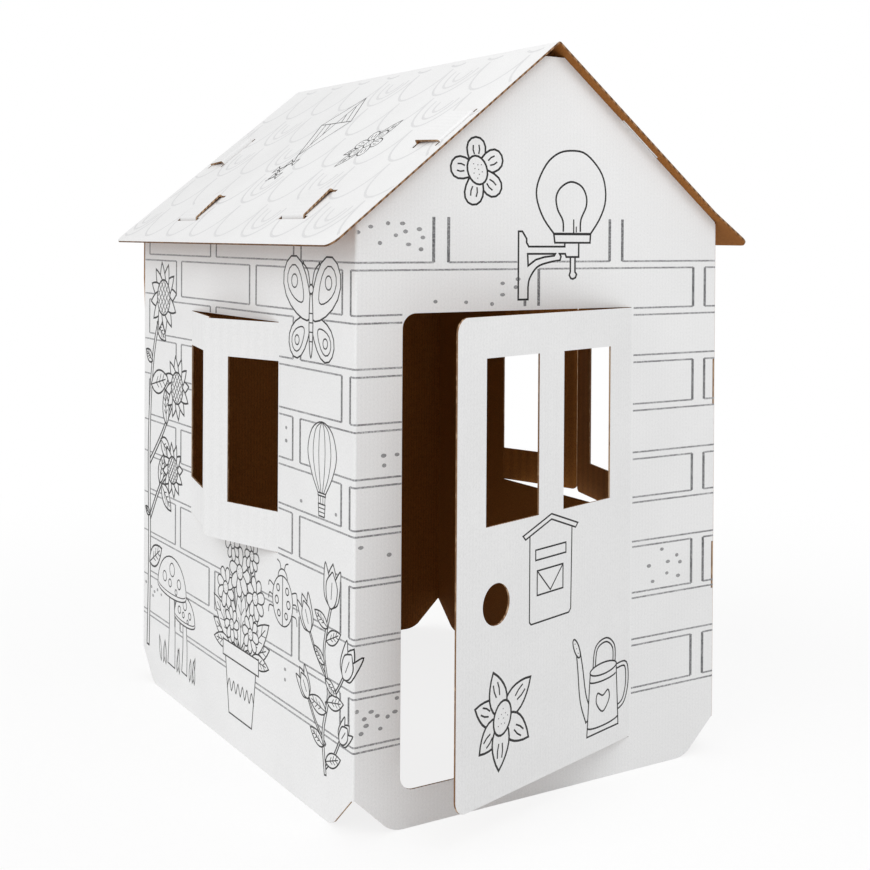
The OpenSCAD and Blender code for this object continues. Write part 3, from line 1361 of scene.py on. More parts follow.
@dataclass(frozen=True)
class Brickwork:
    """Printed bricks in courses, running round the folds.

    Attributes:
        joints: The upper and lower line of each joint, from the top one down.
        odd: Left ends of the upright joints in every other course.
        even: Left ends of the upright joints in the courses between.
        joint: Width of an upright joint.
        stub_top: Upper end of the short upright joints over the top joint.
        level: Width of the level lines.
        upright: Width of the upright lines.
    """

    joints: tuple[Point, ...] = (
        (814.0, 803.2), (739.3, 728.2), (663.9, 652.6), (586.0, 575.2), (508.6, 497.6),
        (437.0, 428.2), (366.0, 357.3), (284.1, 275.4), (209.6, 199.6), (131.8, 123.8))
    odd: tuple[float, ...] = (-1027, -701, -379, -49, 289.3, 617, 945, 1272, 1598)
    even: tuple[float, ...] = (-1192, -866, -538, -211.6, 113.8, 452, 780, 1108, 1436, 1763)
    joint: float = 25.5
    stub_top: float = 880.0
    level: float = 2.8
    upright: float = 5.2

    def draw(self, page: Page, first: float, last: float) -> None:
        """Draws the courses between two places.

        Args:
            page: The page.
            first: Where the courses start along u.
            last: Where they end.
        """
        for i, (upper, lower) in enumerate(self.joints):
            top = self.stub_top if i == 0 else self.joints[i - 1][1]
            starts = [s for s in (self.even if i % 2 == 0 else self.odd) if first - self.joint < s < last]
            ends = [first] + [s + self.joint for s in starts]
            for left, right in zip(ends, starts + [last]):
                if right - left > 4:
                    self._brick(page, left, right, upper, top, i == 0, (left > first, right < last))
            if i == len(self.joints) - 1:
                page.pattern.strokes.append(Stroke([(first, lower), (last, lower)], self.level))

    def _brick(self, page: Page, left: float, right: float, low: float, high: float, is_open: bool,
               ends: tuple[bool, bool]) -> None:
        """Draws one brick.

        Args:
            page: The page.
            left: Its left end.
            right: Its right end.
            low: Its lower edge.
            high: Its upper edge.
            is_open: Whether it has no upper line.
            ends: Whether its left and right ends are drawn.
        """
        strokes = page.pattern.strokes
        strokes.append(Stroke([(left, low), (right, low)], self.level))
        if not is_open:
            strokes.append(Stroke([(left, high), (right, high)], self.level))
        for is_drawn, u in zip(ends, (left, right)):
            if is_drawn:
                page.uprights.strokes.append(Stroke([(u, low), (u, high)], self.upright))


@dataclass(frozen=True)
class Shingles:
    """Printed round-ended shingles in staggered rows, seen from outside a slope.

    Attributes:
        rows: Distances of the rows' ends from the ridge.
        pitch: Width of a shingle.
        depth: Length of a shingle's round end.
        width: The line's width.
    """

    rows: tuple[float, ...] = (21, 113, 205, 298, 389, 481)
    pitch: float = 110.0
    depth: float = 84.0
    width: float = 5.0

    def draw(self, page: Page, first: float, last: float, lowest: float) -> None:
        """Draws the rows between two places.

        Args:
            page: The page.
            first: Where they start along u.
            last: Where they end.
            lowest: The greatest distance from the ridge.
        """
        for index, row in enumerate(self.rows):
            if row > lowest:
                continue
            offset = 73.0 if index % 2 == 0 else 18.0
            start = math.ceil((first - offset) / self.pitch) - 1
            for k in range(start, math.ceil((last - offset) / self.pitch) + 2):
                middle = offset + k * self.pitch
                self._scallop(page, middle, row, first, last, 1.0)
                if (k * 2 + index * 3) % 7 in (0, 3):
                    self._scallop(page, middle + 2, row - 20, first, last, 0.62)
                    self._scallop(page, middle + 6, row - 38, first, last, 0.34)

    def _scallop(
            self, page: Page, middle: float, row: float, first: float, last: float,
            scale: float) -> None:
        """Draws one round end.

        Args:
            page: The page.
            middle: Its middle along u.
            row: Its end's distance from the ridge.
            first: Where the sheet starts.
            last: Where it ends.
            scale: Its size.
        """
        depth = min(self.depth * scale, row - 9)
        if depth < 4:
            return
        full = self.depth * scale
        points = []
        for i in range(17):
            angle = math.pi * i / 16
            fall = full * (1 - math.sin(angle))
            if fall <= depth:
                points.append((middle - math.cos(angle) * self.pitch / 2 * scale, -row + fall))
        points = [p for p in points if first + 6 < p[0] < last - 6]
        if len(points) > 2:
            page.pattern.strokes.append(Stroke(points, self.width))


@dataclass(frozen=True)
class Motif:
    """A drawn motif.

    Attributes:
        at: Its place on the page.
        ink: Its line's width.
    """

    at: Point
    ink: float = 2.0

    def spot(self, u: float, v: float) -> Point:
        """Moves a point from the motif's place to the page.

        Args:
            u: Distance across from the motif's place.
            v: Distance up from it.

        Returns:
            The point on the page.
        """
        return (self.at[0] + u, self.at[1] + v)

    def spots(self, points: Iterable[Point]) -> list[Point]:
        """Moves points from the motif's place to the page.

        Args:
            points: The points.

        Returns:
            The points on the page.
        """
        return [self.spot(u, v) for u, v in points]

    def draw(self, page: Page) -> None:
        """Draws the motif.

        Args:
            page: The page.
        """
        raise NotImplementedError


@dataclass(frozen=True)
class Blossom(Motif):
    """A flower seen from the front.

    Attributes:
        angles: The petals' directions in degrees.
        lengths: The petals' lengths, one or one for each.
        breadth: A petal's width.
        pointed: Whether the petals end in points.
        eye: The middle's radii and turn.
        dots: How many dots the middle has.
    """

    angles: tuple[float, ...] = (94, 28, -40, -100, 174)
    lengths: tuple[float, ...] = (48,)
    breadth: float = 38.0
    pointed: bool = False
    eye: tuple[float, float, float] = (17, 22, 25)
    dots: int = 9

    def draw(self, page: Page) -> None:
        """Draws the flower.

        Args:
            page: The page.
        """
        for i, angle in enumerate(self.angles):
            length = self.lengths[i % len(self.lengths)]
            page.shape(petal(self.at, angle, length, self.breadth, self.pointed), self.ink)
            for side in (-1, 1):
                crease = [(length * 0.48, side * self.breadth * 0.10),
                          (length * 0.62, side * self.breadth * 0.15),
                          (length * 0.76, side * self.breadth * 0.13)]
                page.line(turned(crease, self.at, angle), self.ink * 0.75)
        ru, rv, turn = self.eye
        page.shape(ellipse(self.at, ru, rv, turn, 20), self.ink)
        for k in range(self.dots):
            angle, share = k * 2.4, math.sqrt((k + 0.5) / max(self.dots, 1)) * 0.62
            spot = turned([(ru * share * math.cos(angle), rv * share * math.sin(angle))], self.at, turn)[0]
            page.art.dots.append(Dot(spot, 0.9, 0.9))


@dataclass(frozen=True)
class WallLamp(Motif):
    """A wall lamp: a globe with a bulb, on a bracket with a pull."""

    def draw(self, page: Page) -> None:
        """Draws the lamp. Its place is the bracket plate's lower left corner.

        Args:
            page: The page.
        """
        globe = smooth([(66, 100), (47, 122), (35, 147), (33, 168), (41, 190), (56, 211), (76, 224),
                        (98, 228), (122, 226), (142, 213), (159, 193), (166, 170), (165, 146), (154, 122),
                        (137, 100)], False, 3)
        page.shape(self.spots(globe), self.ink)
        page.line(self.spots(smooth([(84, 103), (83, 120), (73, 137), (70, 156), (79, 171), (98, 180),
                                     (118, 174),
                                     (128, 159), (128, 142), (118, 122), (117, 103)], False, 4)), self.ink)
        page.line(self.spots([(104, 122), (104, 101)]), self.ink * 0.8)
        page.line(self.spots([(109, 111), (109, 102)]), self.ink * 0.7)
        arm = [(87, 86), (87, 80), (19, 80), (15, 86), (15, 92), (7, 103), (0, 103), (0, 0), (18, 0),
               (18, 18)]
        curve = smooth([(18, 18), (21, 32), (35, 49), (57, 56), (78, 59)], False, 4)[1:]
        arm += curve + [(80, 65), (77, 69), (88, 69), (90, 64), (114, 64), (114, 86)]
        page.shape(self.spots(arm), self.ink)
        page.shape(self.spots([(17, 69), (69, 69), (67, 66), (48, 64), (32, 60), (18, 51)]), self.ink)
        page.shape(self.spots([(98, 64), (98, 41), (96, 36), (99, 31), (103, 30), (108, 32), (110, 37),
                               (107, 41),
                               (107, 64)]), self.ink)
        page.shape(self.spots([(66, 99), (137, 99), (136, 86), (68, 86)]), self.ink)


@dataclass(frozen=True)
class Mailbox(Motif):
    """A letter box with a small roof, a slot and an envelope. Its place is its lower left corner."""

    def draw(self, page: Page) -> None:
        """Draws the letter box.

        Args:
            page: The page.
        """
        body = [(0, 4), (4, 0), (96, 0), (101, 5), (103, 131), (52, 153), (0, 131)]
        page.shape(self.spots(body), self.ink)
        roof = [(-16, 132), (-10, 126), (52, 147), (112, 126), (118, 132), (52, 155)]
        page.shape(self.spots(roof), self.ink)
        page.shape(self.spots(box(14, 92, 88, 107)), self.ink)
        page.shape(self.spots(box(18, 40, 81, 76)), self.ink)
        page.line(self.spots([(18, 76), (50, 43), (81, 76)]), self.ink * 0.9)


@dataclass(frozen=True)
class WateringCan(Motif):
    """A watering can with its spout to the left. Its place is the middle of its foot."""

    def draw(self, page: Page) -> None:
        """Draws the can.

        Args:
            page: The page.
        """
        page.shape(self.spots(band(smooth([(36, 92), (62, 90), (66, 60), (56, 34), (37, 26)]), 7, 7)),
                   self.ink)
        page.shape(self.spots(band(smooth([(-24, 100), (-18, 132), (8, 140), (28, 126), (30, 102)]), 6, 6)),
                   self.ink)
        page.shape(self.spots(band(smooth([(-36, 28), (-52, 62), (-60, 108), (-66, 138)]), 20, 9)), self.ink)
        page.shape(turned(ellipse((0, 0), 6, 17), self.spot(-70, 143), 28), self.ink)
        for k in (-1, 0, 1):
            page.art.dots.append(Dot(self.spot(-70 - k * 4.2, 143 + k * 8), 1.0, 1.0))
        page.shape(self.spots([(-42, 0), (42, 0), (36, 96), (-34, 96)]), self.ink)
        page.shape(self.spots(ellipse((1, 97), 35.5, 9)), self.ink)
        page.line(self.spots(arc((0, 14), 41, 6, 190, 350)), self.ink)
        page.line(self.spots(arc((0, 84), 36, 6, 195, 345)), self.ink)
        heart = smooth([(0, 30), (-17, 46), (-14, 61), (0, 55), (14, 61), (17, 46)], True, 4)
        page.shape(self.spots(heart), self.ink)


@dataclass(frozen=True)
class Sunflowers(Motif):
    """Three tall sunflowers on one stem. Its place is the stem's foot."""

    heads: tuple[tuple[float, float, float], ...] = (
        (78, 668, 66), (148, 505, 58), (128, 352, 50))

    def draw(self, page: Page) -> None:
        """Draws the sunflowers.

        Args:
            page: The page.
        """
        main = smooth([(2, 0), (8, 180), (4, 400), (26, 560), (78, 668)])
        page.shape(self.spots(band(smooth([(6, 240), (70, 320), (128, 352)]), 8, 6)), self.ink)
        page.shape(self.spots(band(smooth([(6, 350), (80, 420), (148, 505)]), 8, 6)), self.ink)
        page.shape(self.spots(band(main, 12, 8)), self.ink)
        for u, v, angle, length, breadth in (
                (14, 500, 12, 92, 44), (20, 545, 150, 40, 22), (66, 402, -28, 62, 34), (8, 250, 152, 26, 14),
                (60, 318, 70, 60, 30), (96, 432, 98, 66, 32), (70, 318, -40, 66, 34), (9, 160, 30, 74, 38),
                (44, 620, -35, 56, 28)):
            page.leaf(self.spot(u, v), angle, length, breadth, self.ink)
        for u, v, r in self.heads:
            self._head(page, self.spot(u, v), r)

    def _head(self, page: Page, at: Point, radius: float) -> None:
        """Draws one head.

        Args:
            page: The page.
            at: Its middle.
            radius: Its radius over the petals.
        """
        for k in range(12):
            page.shape(petal(at, 30 * k + 8, radius, radius * 0.42, True), self.ink)
        page.shape(ellipse(at, radius * 0.5, radius * 0.5), self.ink)
        for k in (-2, -1, 0, 1, 2):
            half = math.sqrt(max(0.0, 0.21 - (0.17 * k) ** 2)) * radius
            for turn in (45, 135):
                page.line(turned([(-half, 0.17 * k * radius), (half, 0.17 * k * radius)], at, turn),
                          self.ink * 0.55)


@dataclass(frozen=True)
class Butterfly(Motif):
    """A butterfly with open wings."""

    scale: float = 1.0

    def draw(self, page: Page) -> None:
        """Draws the butterfly.

        Args:
            page: The page.
        """
        k = self.scale
        for side in (-1, 1):
            for angle, length, breadth in ((-38, 84, 62), (46, 116, 86)):
                turn = angle if side > 0 else 180 - angle
                base = self.spot(side * 3 * k, 4 * k)
                page.shape(petal(base, turn, length * k, breadth * k), self.ink)
                inner = turned([(length * 0.3 * k, 0)], base, turn)[0]
                page.shape(petal(inner, turn, length * 0.58 * k, breadth * 0.6 * k), self.ink * 0.8)
                core = turned([(length * 0.66 * k, 0)], base, turn)[0]
                page.shape(ellipse(core, breadth * 0.12 * k, breadth * 0.12 * k, 0, 14), self.ink * 0.8)
            feeler = smooth([(side * 2 * k, 46 * k), (side * 10 * k, 74 * k), (side * 26 * k, 86 * k)])
            page.line(self.spots(feeler), self.ink)
            page.art.dots.append(Dot(self.spot(side * 27 * k, 87 * k), 3 * k, 3 * k))
        page.shape(self.spots(ellipse((0, -4 * k), 6.5 * k, 50 * k, 0, 22)), self.ink)
        for v in (-30, -16, -2, 12):
            page.line(self.spots([(-5.5 * k, v * k), (5.5 * k, v * k)]), self.ink * 0.7)
        page.shape(self.spots(ellipse((0, 48 * k), 7 * k, 7 * k, 0, 16)), self.ink)


@dataclass(frozen=True)
class Balloon(Motif):
    """A striped balloon with a basket. Its place is the middle of its envelope."""

    radius: float = 46.0

    def draw(self, page: Page) -> None:
        """Draws the balloon.

        Args:
            page: The page.
        """
        r = self.radius
        skirt = (-r * 1.32, -r * 1.62)
        for side in (-1, 1):
            page.line(self.spots([(side * 11, skirt[0]), (side * 10, skirt[1])]), self.ink * 0.7)
            page.line(self.spots([(side * 4, skirt[0]), (side * 4, skirt[1])]), self.ink * 0.7)
        envelope = smooth([(-11, -r * 1.3), (-r * 0.72, -r * 0.7), (-r, 0.0), (-r * 0.7, r * 0.72), (0, r),
                           (r * 0.7, r * 0.72), (r, 0.0), (r * 0.72, -r * 0.7), (11, -r * 1.3)], False, 4)
        page.shape(self.spots(envelope), self.ink)
        for share in (-0.62, -0.22, 0.22, 0.62):
            gore = [(share * 9, -r * 1.28), (share * r * 0.74, -r * 0.7), (share * r, 0.0),
                    (share * r * 0.72, r * 0.72), (0, r)]
            page.line(self.spots(smooth(gore, False, 4)), self.ink * 0.8)
        page.shape(self.spots(box(-12, -r * 1.36, 12, -r * 1.27)), self.ink)
        basket = [(-11, skirt[1]), (-9, skirt[1] - 18), (9, skirt[1] - 18), (11, skirt[1])]
        page.shape(self.spots(basket), self.ink)
        for v in (6, 12):
            page.line(self.spots([(-10, skirt[1] - v), (10, skirt[1] - v)]), self.ink * 0.7)


@dataclass(frozen=True)
class Mushrooms(Motif):
    """Two mushrooms in grass. Its place is the grass's middle."""

    def draw(self, page: Page) -> None:
        """Draws the mushrooms.

        Args:
            page: The page.
        """
        self._mushroom(page, (38, 2), 96, 50, 44)
        self._mushroom(page, (-26, 0), 138, 72, 62)
        for u, lean in ((-78, -8), (-66, 6), (-54, -3), (2, 8), (14, -6), (64, 4), (76, 10), (86, -4)):
            blade = petal(self.spot(u, -4), 90 - lean * 1.6, 34 + abs(lean) * 1.5, 9, True)
            page.shape(blade, self.ink * 0.9)

    def _mushroom(self, page: Page, foot: Point, height: float, spread: float, cap: float) -> None:
        """Draws one mushroom.

        Args:
            page: The page.
            foot: Its foot.
            height: Height of its cap's rim.
            spread: Half of its cap's width.
            cap: Height of its cap.
        """
        u, v = foot
        stem = smooth([(u, v), (u + 3, v + height * 0.5), (u, v + height)])
        page.shape(self.spots(band(stem, spread * 0.5, spread * 0.3)), self.ink)
        top = arc((u, v + height), spread, cap, 0, 180, 16)
        rim = arc((u, v + height), spread, spread * 0.2, 180, 360, 12)[1:-1]
        page.shape(self.spots(top + rim), self.ink)
        page.line(self.spots(arc((u, v + height + 3), spread * 0.94, spread * 0.13, 180, 360)),
                  self.ink * 0.7)
        for du, dv, r in ((-0.5, 0.32, 0.13), (0.02, 0.62, 0.17), (0.5, 0.3, 0.12), (-0.12, 0.2, 0.1),
                          (0.3, 0.02, 0.07)):
            page.shape(self.spots(ellipse((u + du * spread, v + height + dv * cap), r * spread, r * spread,
                                          0, 16)),
                       self.ink * 0.85)


@dataclass(frozen=True)
class FlowerPot(Motif):
    """A pot full of daisies and leaves. Its place is the middle of its foot."""

    blooms: tuple[tuple[float, float, float], ...] = (
        (-62, 206, 36), (58, 214, 36), (-4, 244, 42), (-36, 150, 30), (40, 152, 32), (-34, 286, 30),
        (44, 280, 28))

    def draw(self, page: Page) -> None:
        """Draws the pot and its flowers.

        Args:
            page: The page.
        """
        for u, v, _ in self.blooms:
            page.shape(self.spots(band(smooth([(u * 0.2, 104), (u * 0.75, v * 0.72), (u, v)]), 4, 4)),
                       self.ink)
        for angle, length, start in ((20, 84, 34), (160, 84, -34), (38, 110, 24), (142, 112, -24),
                                     (62, 128, 12),
                                     (118, 126, -12), (88, 120, 0), (-2, 66, 44), (182, 66, -44)):
            page.leaf(self.spot(start, 116), angle, length, length * 0.36, self.ink)
        for u, v, r in self.blooms:
            at = self.spot(u, v)
            for k in range(8):
                page.shape(petal(at, 45 * k + u, r, r * 0.62), self.ink)
            page.shape(ellipse(at, r * 0.3, r * 0.3, 0, 16), self.ink)
            for k in range(5):
                angle = k * 1.26
                page.art.dots.append(Dot((at[0] + r * 0.15 * math.cos(angle),
                                          at[1] + r * 0.15 * math.sin(angle)),
                                         0.8, 0.8))
        page.shape(self.spots([(-46, 0), (46, 0), (62, 96), (-62, 96)]), self.ink)
        page.shape(self.spots(box(-72, 92, 72, 118)), self.ink)
        wave = [(-54 + 9 * k, 48 + (9 if k % 2 else -9)) for k in range(13)]
        page.line(self.spots(smooth(wave)), self.ink * 0.9)


@dataclass(frozen=True)
class Ladybird(Motif):
    """A ladybird seen from above."""

    radius: float = 36.0

    def draw(self, page: Page) -> None:
        """Draws the ladybird.

        Args:
            page: The page.
        """
        r = self.radius
        for side in (-1, 1):
            for angle in (28, 0, -30):
                leg = [(side * r * 0.8 * math.cos(math.radians(angle)),
                        r * 0.9 * math.sin(math.radians(angle))),
                       (side * r * 1.3, r * 1.1 * math.sin(math.radians(angle)) + 4),
                       (side * r * 1.42, r * 1.2 * math.sin(math.radians(angle)) - 6)]
                page.line(self.spots(smooth(leg)), self.ink)
            page.line(self.spots(smooth([(side * 5, r * 1.25), (side * 10, r * 1.6),
                                         (side * 20, r * 1.7)])), self.ink)
        page.shape(self.spots(ellipse((0, r * 0.98), r * 0.46, r * 0.4, 0, 18)), self.ink)
        page.shape(self.spots(ellipse((0, 0), r, r * 1.08)), self.ink)
        page.line(self.spots([(0, r * 1.08), (0, -r * 1.08)]), self.ink)
        for u, v, size in ((0.45, 0.5, 0.15), (0.58, -0.05, 0.17), (0.36, -0.58, 0.14)):
            for side in (-1, 1):
                page.shape(self.spots(ellipse((side * u * r, v * r), size * r, size * r, 0, 14)), self.ink)


@dataclass(frozen=True)
class Tulips(Motif):
    """A climbing stem with tulips and leaves. Its place is the stem's foot."""

    blooms: tuple[tuple[float, float, float, float], ...] = (
        (14, 246, 84, 1.15), (-52, 196, 118, 1.0), (54, 156, 58, 1.0), (-56, 96, 128, 0.85),
        (44, 62, 48, 0.75))

    def draw(self, page: Page) -> None:
        """Draws the stem, its leaves and its tulips.

        Args:
            page: The page.
        """
        stem = smooth([(0, 0), (-8, 60), (8, 120), (-6, 180), (14, 246)])
        for u, v, _, _ in self.blooms[1:]:
            page.shape(self.spots(band(smooth([(0, v - 52), (u * 0.6, v - 26), (u, v)]), 4, 4)), self.ink)
        page.shape(self.spots(band(stem, 6, 5)), self.ink)
        for u, v, angle, length in ((-6, 40, 160, 46), (0, 20, 20, 50), (4, 108, 12, 52), (2, 92, 172, 58),
                                    (-4, 160, 150, 40), (0, 196, 24, 50), (6, 216, 158, 46),
                                    (-2, 140, -24, 40)):
            page.leaf(self.spot(u, v), angle, length, length * 0.42, self.ink)
        for u, v, angle, scale in self.blooms:
            self._tulip(page, self.spot(u, v), angle, scale)

    def _tulip(self, page: Page, at: Point, angle: float, scale: float) -> None:
        """Draws one tulip.

        Args:
            page: The page.
            at: Its base.
            angle: Its direction in degrees.
            scale: Its size.
        """
        page.shape(petal(at, angle, 58 * scale, 30 * scale, True), self.ink)
        for side in (-1, 1):
            outer = [(0, 0), (10, side * 17), (30, side * 22), (54, side * 21), (40, side * 9),
                     (30, side * 1), (12, 0)]
            page.shape(turned(smooth(outer, False, 4), at, angle, scale), self.ink)
        front = [(0, 0), (10, 12), (30, 15), (44, 4), (47, 0), (44, -4), (30, -15), (10, -12)]
        page.shape(turned(smooth(front, True, 4), at, angle, scale), self.ink)
        page.line(turned([(12, 0), (34, 0)], at, angle, scale), self.ink * 0.7)


@dataclass(frozen=True)
class Kite(Motif):
    """A kite with a tail of bows. Its place is where its spars cross."""

    def draw(self, page: Page) -> None:
        """Draws the kite.

        Args:
            page: The page.
        """
        tail = smooth([(0, -96), (14, -118), (-8, -136), (8, -156), (-10, -170)])
        page.line(self.spots(tail), self.ink)
        for index in (5, 10, 15):
            u, v = tail[index]
            for side in (-1, 1):
                bow = [(u, v), (u + side * 14, v + 9), (u + side * 14, v - 9)]
                page.shape(self.spots(bow), self.ink)
            page.shape(self.spots(ellipse((u, v), 3.4, 3.4, 0, 10)), self.ink)
        page.shape(self.spots([(0, 78), (56, 0), (0, -96), (-56, 0)]), self.ink)
        page.line(self.spots([(0, 78), (0, -96)]), self.ink)
        page.line(self.spots([(-56, 0), (56, 0)]), self.ink)
        for share in (0.36, 0.68):
            page.line(self.spots([(0, 78 * share), (56 * share, 0)]), self.ink * 0.8)
            page.line(self.spots([(0, -96 * share), (-56 * share, 0)]), self.ink * 0.8)


@dataclass(frozen=True)
class Sprig(Motif):
    """A daisy between two leaves."""

    lean: float = 66.0

    def draw(self, page: Page) -> None:
        """Draws the sprig.

        Args:
            page: The page.
        """
        page.leaf(self.at, self.lean, 66, 26, self.ink)
        page.leaf(self.at, self.lean + 180, 66, 26, self.ink)
        page.leaf(self.at, self.lean + 146, 52, 20, self.ink)
        daisy = Blossom(self.at, self.ink, angles=(0, 60, 120, 180, 240, 300), lengths=(38,), breadth=27.0,
                        eye=(10, 11, 0), dots=5)
        daisy.draw(page)


class Print:
    """All the printing on the house."""

    def __init__(self, sizes: HouseSizes) -> None:
        """Lays out the pages.

        Args:
            sizes: The house's sizes.
        """
        self.sizes = sizes
        w, d, r = sizes.half_width, sizes.half_depth, sizes.right_face
        door = math.radians(sizes.door_angle)
        slope = math.radians(sizes.pitch)
        self.front = Page("front_and_left", Wrap(
            ((-w, d - sizes.inner_gap), (-w, -d), (w, -d), (w, -d + sizes.flap)),
            -w - 2 * d + sizes.inner_gap, sizes.fold_radius), Slot.WALLS)
        self.back = Page("back_and_right", Wrap(
            ((r, -d + sizes.print_inset), (r, d), (-w, d)), w + sizes.print_inset,
            sizes.fold_radius), Slot.BACK_WALLS)
        self.door = Page("door", Panel(
            (sizes.crease_x, -d, 0.0), (math.cos(door), math.sin(door), 0.0), (0.0, 0.0, 1.0)), Slot.WALLS)
        self.left_slope = Page("left_slope", Panel(
            (0.0, 0.0, sizes.apex_z), (0.0, -1.0, 0.0), (math.cos(slope), 0.0, math.sin(slope))), Slot.ROOF)
        strip = math.radians(sizes.strip_pitch)
        crease_z = sizes.apex_z - sizes.kink_x * math.tan(slope)
        self.right_slope = Page("right_slope", Kinked(
            Panel((0.0, 0.0, sizes.apex_z), (0.0, 1.0, 0.0), (-math.cos(slope), 0.0, math.sin(slope))),
            Panel((sizes.kink_x, 0.0, crease_z), (0.0, 1.0, 0.0), (-math.cos(strip), 0.0, math.sin(strip))),
            sizes.kink_x / math.cos(slope)), Slot.ROOF)
        self.underside = Page("roof_underside", Panel(
            (0.0, 0.0, sizes.apex_z - sizes.card / math.cos(slope)), (0.0, -1.0, 0.0),
            (-math.cos(slope), 0.0, math.sin(slope))), Slot.ROOF)

    def draw(self) -> None:
        """Draws every page."""
        self._draw_front()
        self._draw_back()
        self._draw_door()
        self._draw_roof()

    def _draw_front(self) -> None:
        """Draws the bricks, dots and motifs of the front and left walls."""
        page = self.front
        doorway = box(-263.5, 54, 163.5, 747)
        window = box(-951.0, 356, -587.5, 718)
        past_wall_top = box(-1300, 872, -345, 1000)
        left_wall_end, flap_end = -1191.0, 398.0
        Brickwork().draw(page, left_wall_end, flap_end)
        self._scatter(page, (
            (-337, 857), (-316, 865), (-288, 870), (-264, 870), (-259, 858.5), (-275, 853), (-236, 862),
            (-230, 850), (-301, 842), (-254, 840), (-233, 833), (-155, 755), (-62, 788), (-90, 782),
            (-109, 751.5), (-90, 765), (-66, 776), (-208, 757), (199, 323), (226, 347), (258, 334),
            (239, 325.5), (265, 322), (237, 307), (261, 300), (207, 297), (-334, 182.5), (-311, 178.5),
            (-322, 170), (-269, 191), (-319, 160), (-301, 171), (-284, 167), (-272, 172), (-327, 150),
            (-296, 152), (-293, 540), (-271, 540), (-292, 526), (-329, 413), (-283, 398), (-561, 556),
            (-561, 536), (-561, 183), (-561, 167), (-508, 452), (-444, 446), (-395, 451),
            (-1180, 183), (-1166, 176), (-1150, 180), (-1134, 174), (-1118, 181), (-1098, 176), (-1142, 165)))
        page.clear(doorway)
        page.clear(window)
        for motif in (
                Sunflowers((-1170, 66), 3.6), Mushrooms((-1018, 58), 2.6), FlowerPot((-731, 52), 2.6),
                Ladybird((-571, 286), 2.2), Tulips((-424, 66), 2.4), Balloon((-440, 533), 2.2),
                Butterfly((-478, 724), 2.7), Blossom((-136.5, 950), 3.1, lengths=(49, 49, 52, 52, 47)),
                WallLamp((-61.5, 757), 3.0)):
            motif.draw(page)
        page.clear(doorway)
        page.clear(window)
        page.clear(past_wall_top)

    def _draw_back(self) -> None:
        """Draws the bricks and dots of the right and back walls."""
        page = self.back
        window = box(587.5, 356, 951.0, 718)
        past_wall_top = box(300, 872, 1205, 1000)
        right_wall_end, back_wall_end = 401.5, 1873.0
        Brickwork().draw(page, right_wall_end, back_wall_end)
        clusters = (
            (480, 846), (503, 838), (1010, 690), (1034, 704), (1058, 688), (1020, 676), (1046, 672),
            (560, 180), (584, 168), (604, 184), (626, 172), (870, 168), (896, 180), (1330, 612),
            (1356, 624), (1378, 606), (1346, 596), (1600, 322), (1626, 334), (1650, 318), (1614, 304),
            (1642, 300), (1510, 476), (1536, 468), (1700, 690), (1724, 702), (1742, 684), (1290, 240),
            (1314, 252), (1336, 236), (1420, 160), (1444, 172),
            (1800, 178), (1776, 166), (1754, 182), (1450, 862), (1474, 852), (1498, 866), (1640, 850))
        self._scatter(page, clusters)
        page.clear(window)
        page.clear(past_wall_top)
        Blossom((1536, 966), 3.0, lengths=(50,)).draw(page)

    def _draw_door(self) -> None:
        """Draws the door's motifs."""
        page = self.door
        for motif in (
                Mailbox((-259, 287), 2.5), WateringCan((-72, 84), 2.6),
                Blossom((-320, 168), 3.4, angles=(156, 218, 34, 107, -35.5, -96),
                        lengths=(66, 64, 78, 72, 74, 74),
                        breadth=38.0, pointed=True, eye=(19, 25, -20), dots=9)):
            motif.draw(page)

    def _draw_roof(self) -> None:
        """Draws the shingles of both slopes and the left one's motifs."""
        sizes = self.sizes
        front = sizes.half_depth + sizes.front_overhang
        rear = sizes.half_depth + sizes.rear_overhang
        for page, first, last in ((self.left_slope, -rear, front), (self.right_slope, -front, rear)):
            Shingles().draw(page, first, last, sizes.shingle_reach)
            self._clear_slots(page, -1.0 if page is self.left_slope else 1.0)
        # the white liner along the front gable's right-hand slot, seen from below
        lip_at = sizes.half_depth + 2.5
        lip_low, lip_high, lip_width = -266.0, -176.0, 3.4
        lip = Stroke([(lip_at, lip_low), (lip_at, lip_high)], lip_width)
        self.underside.pattern.strokes.append(lip)
        Kite((-46, -158), 2.3).draw(self.left_slope)
        Sprig((190, -240), 2.3).draw(self.left_slope)

    @staticmethod
    def _clear_slots(page: Page, side: float) -> None:
        """Takes the printing away from a slope's slots.

        Args:
            page: The slope's page.
            side: -1 where u runs to the front, or 1 where it runs to the back.
        """
        for end in (-1, 1):
            near, far = end * 425.6, end * 431.4
            page.clear(box(min(near, far), -268, max(near, far), -174))
            near, far = end * 361.0, end * 368.2
            page.clear(box(min(near, far), -268, max(near, far), -174))
        for y in (-227.0, 202.0):
            u = side * y
            page.clear(box(u - 47, -439, u + 47, -429))
            page.clear(box(u - 47, -374, u + 47, -364))

    @staticmethod
    def _scatter(page: Page, places: Iterable[Point]) -> None:
        """Prints soft dots.

        Args:
            page: The page.
            places: Their middles.
        """
        for i, place in enumerate(places):
            page.specks.dots.append(Dot(place, 4.6 - 0.5 * (i % 3), 3.0 - 0.3 * (i % 2)))

    def build(self, finishes: Finishes) -> int:
        """Makes all printed pieces.

        Args:
            finishes: The materials.

        Returns:
            How many triangles they have.
        """
        inks = (
            (self.front, finishes.level), (self.back, finishes.level), (self.door, finishes.level),
            (self.left_slope, finishes.shingle), (self.right_slope, finishes.shingle),
            (self.underside, finishes.roof_white_with_painted_light))
        return sum(page.print(finishes, pattern) for page, pattern in inks)


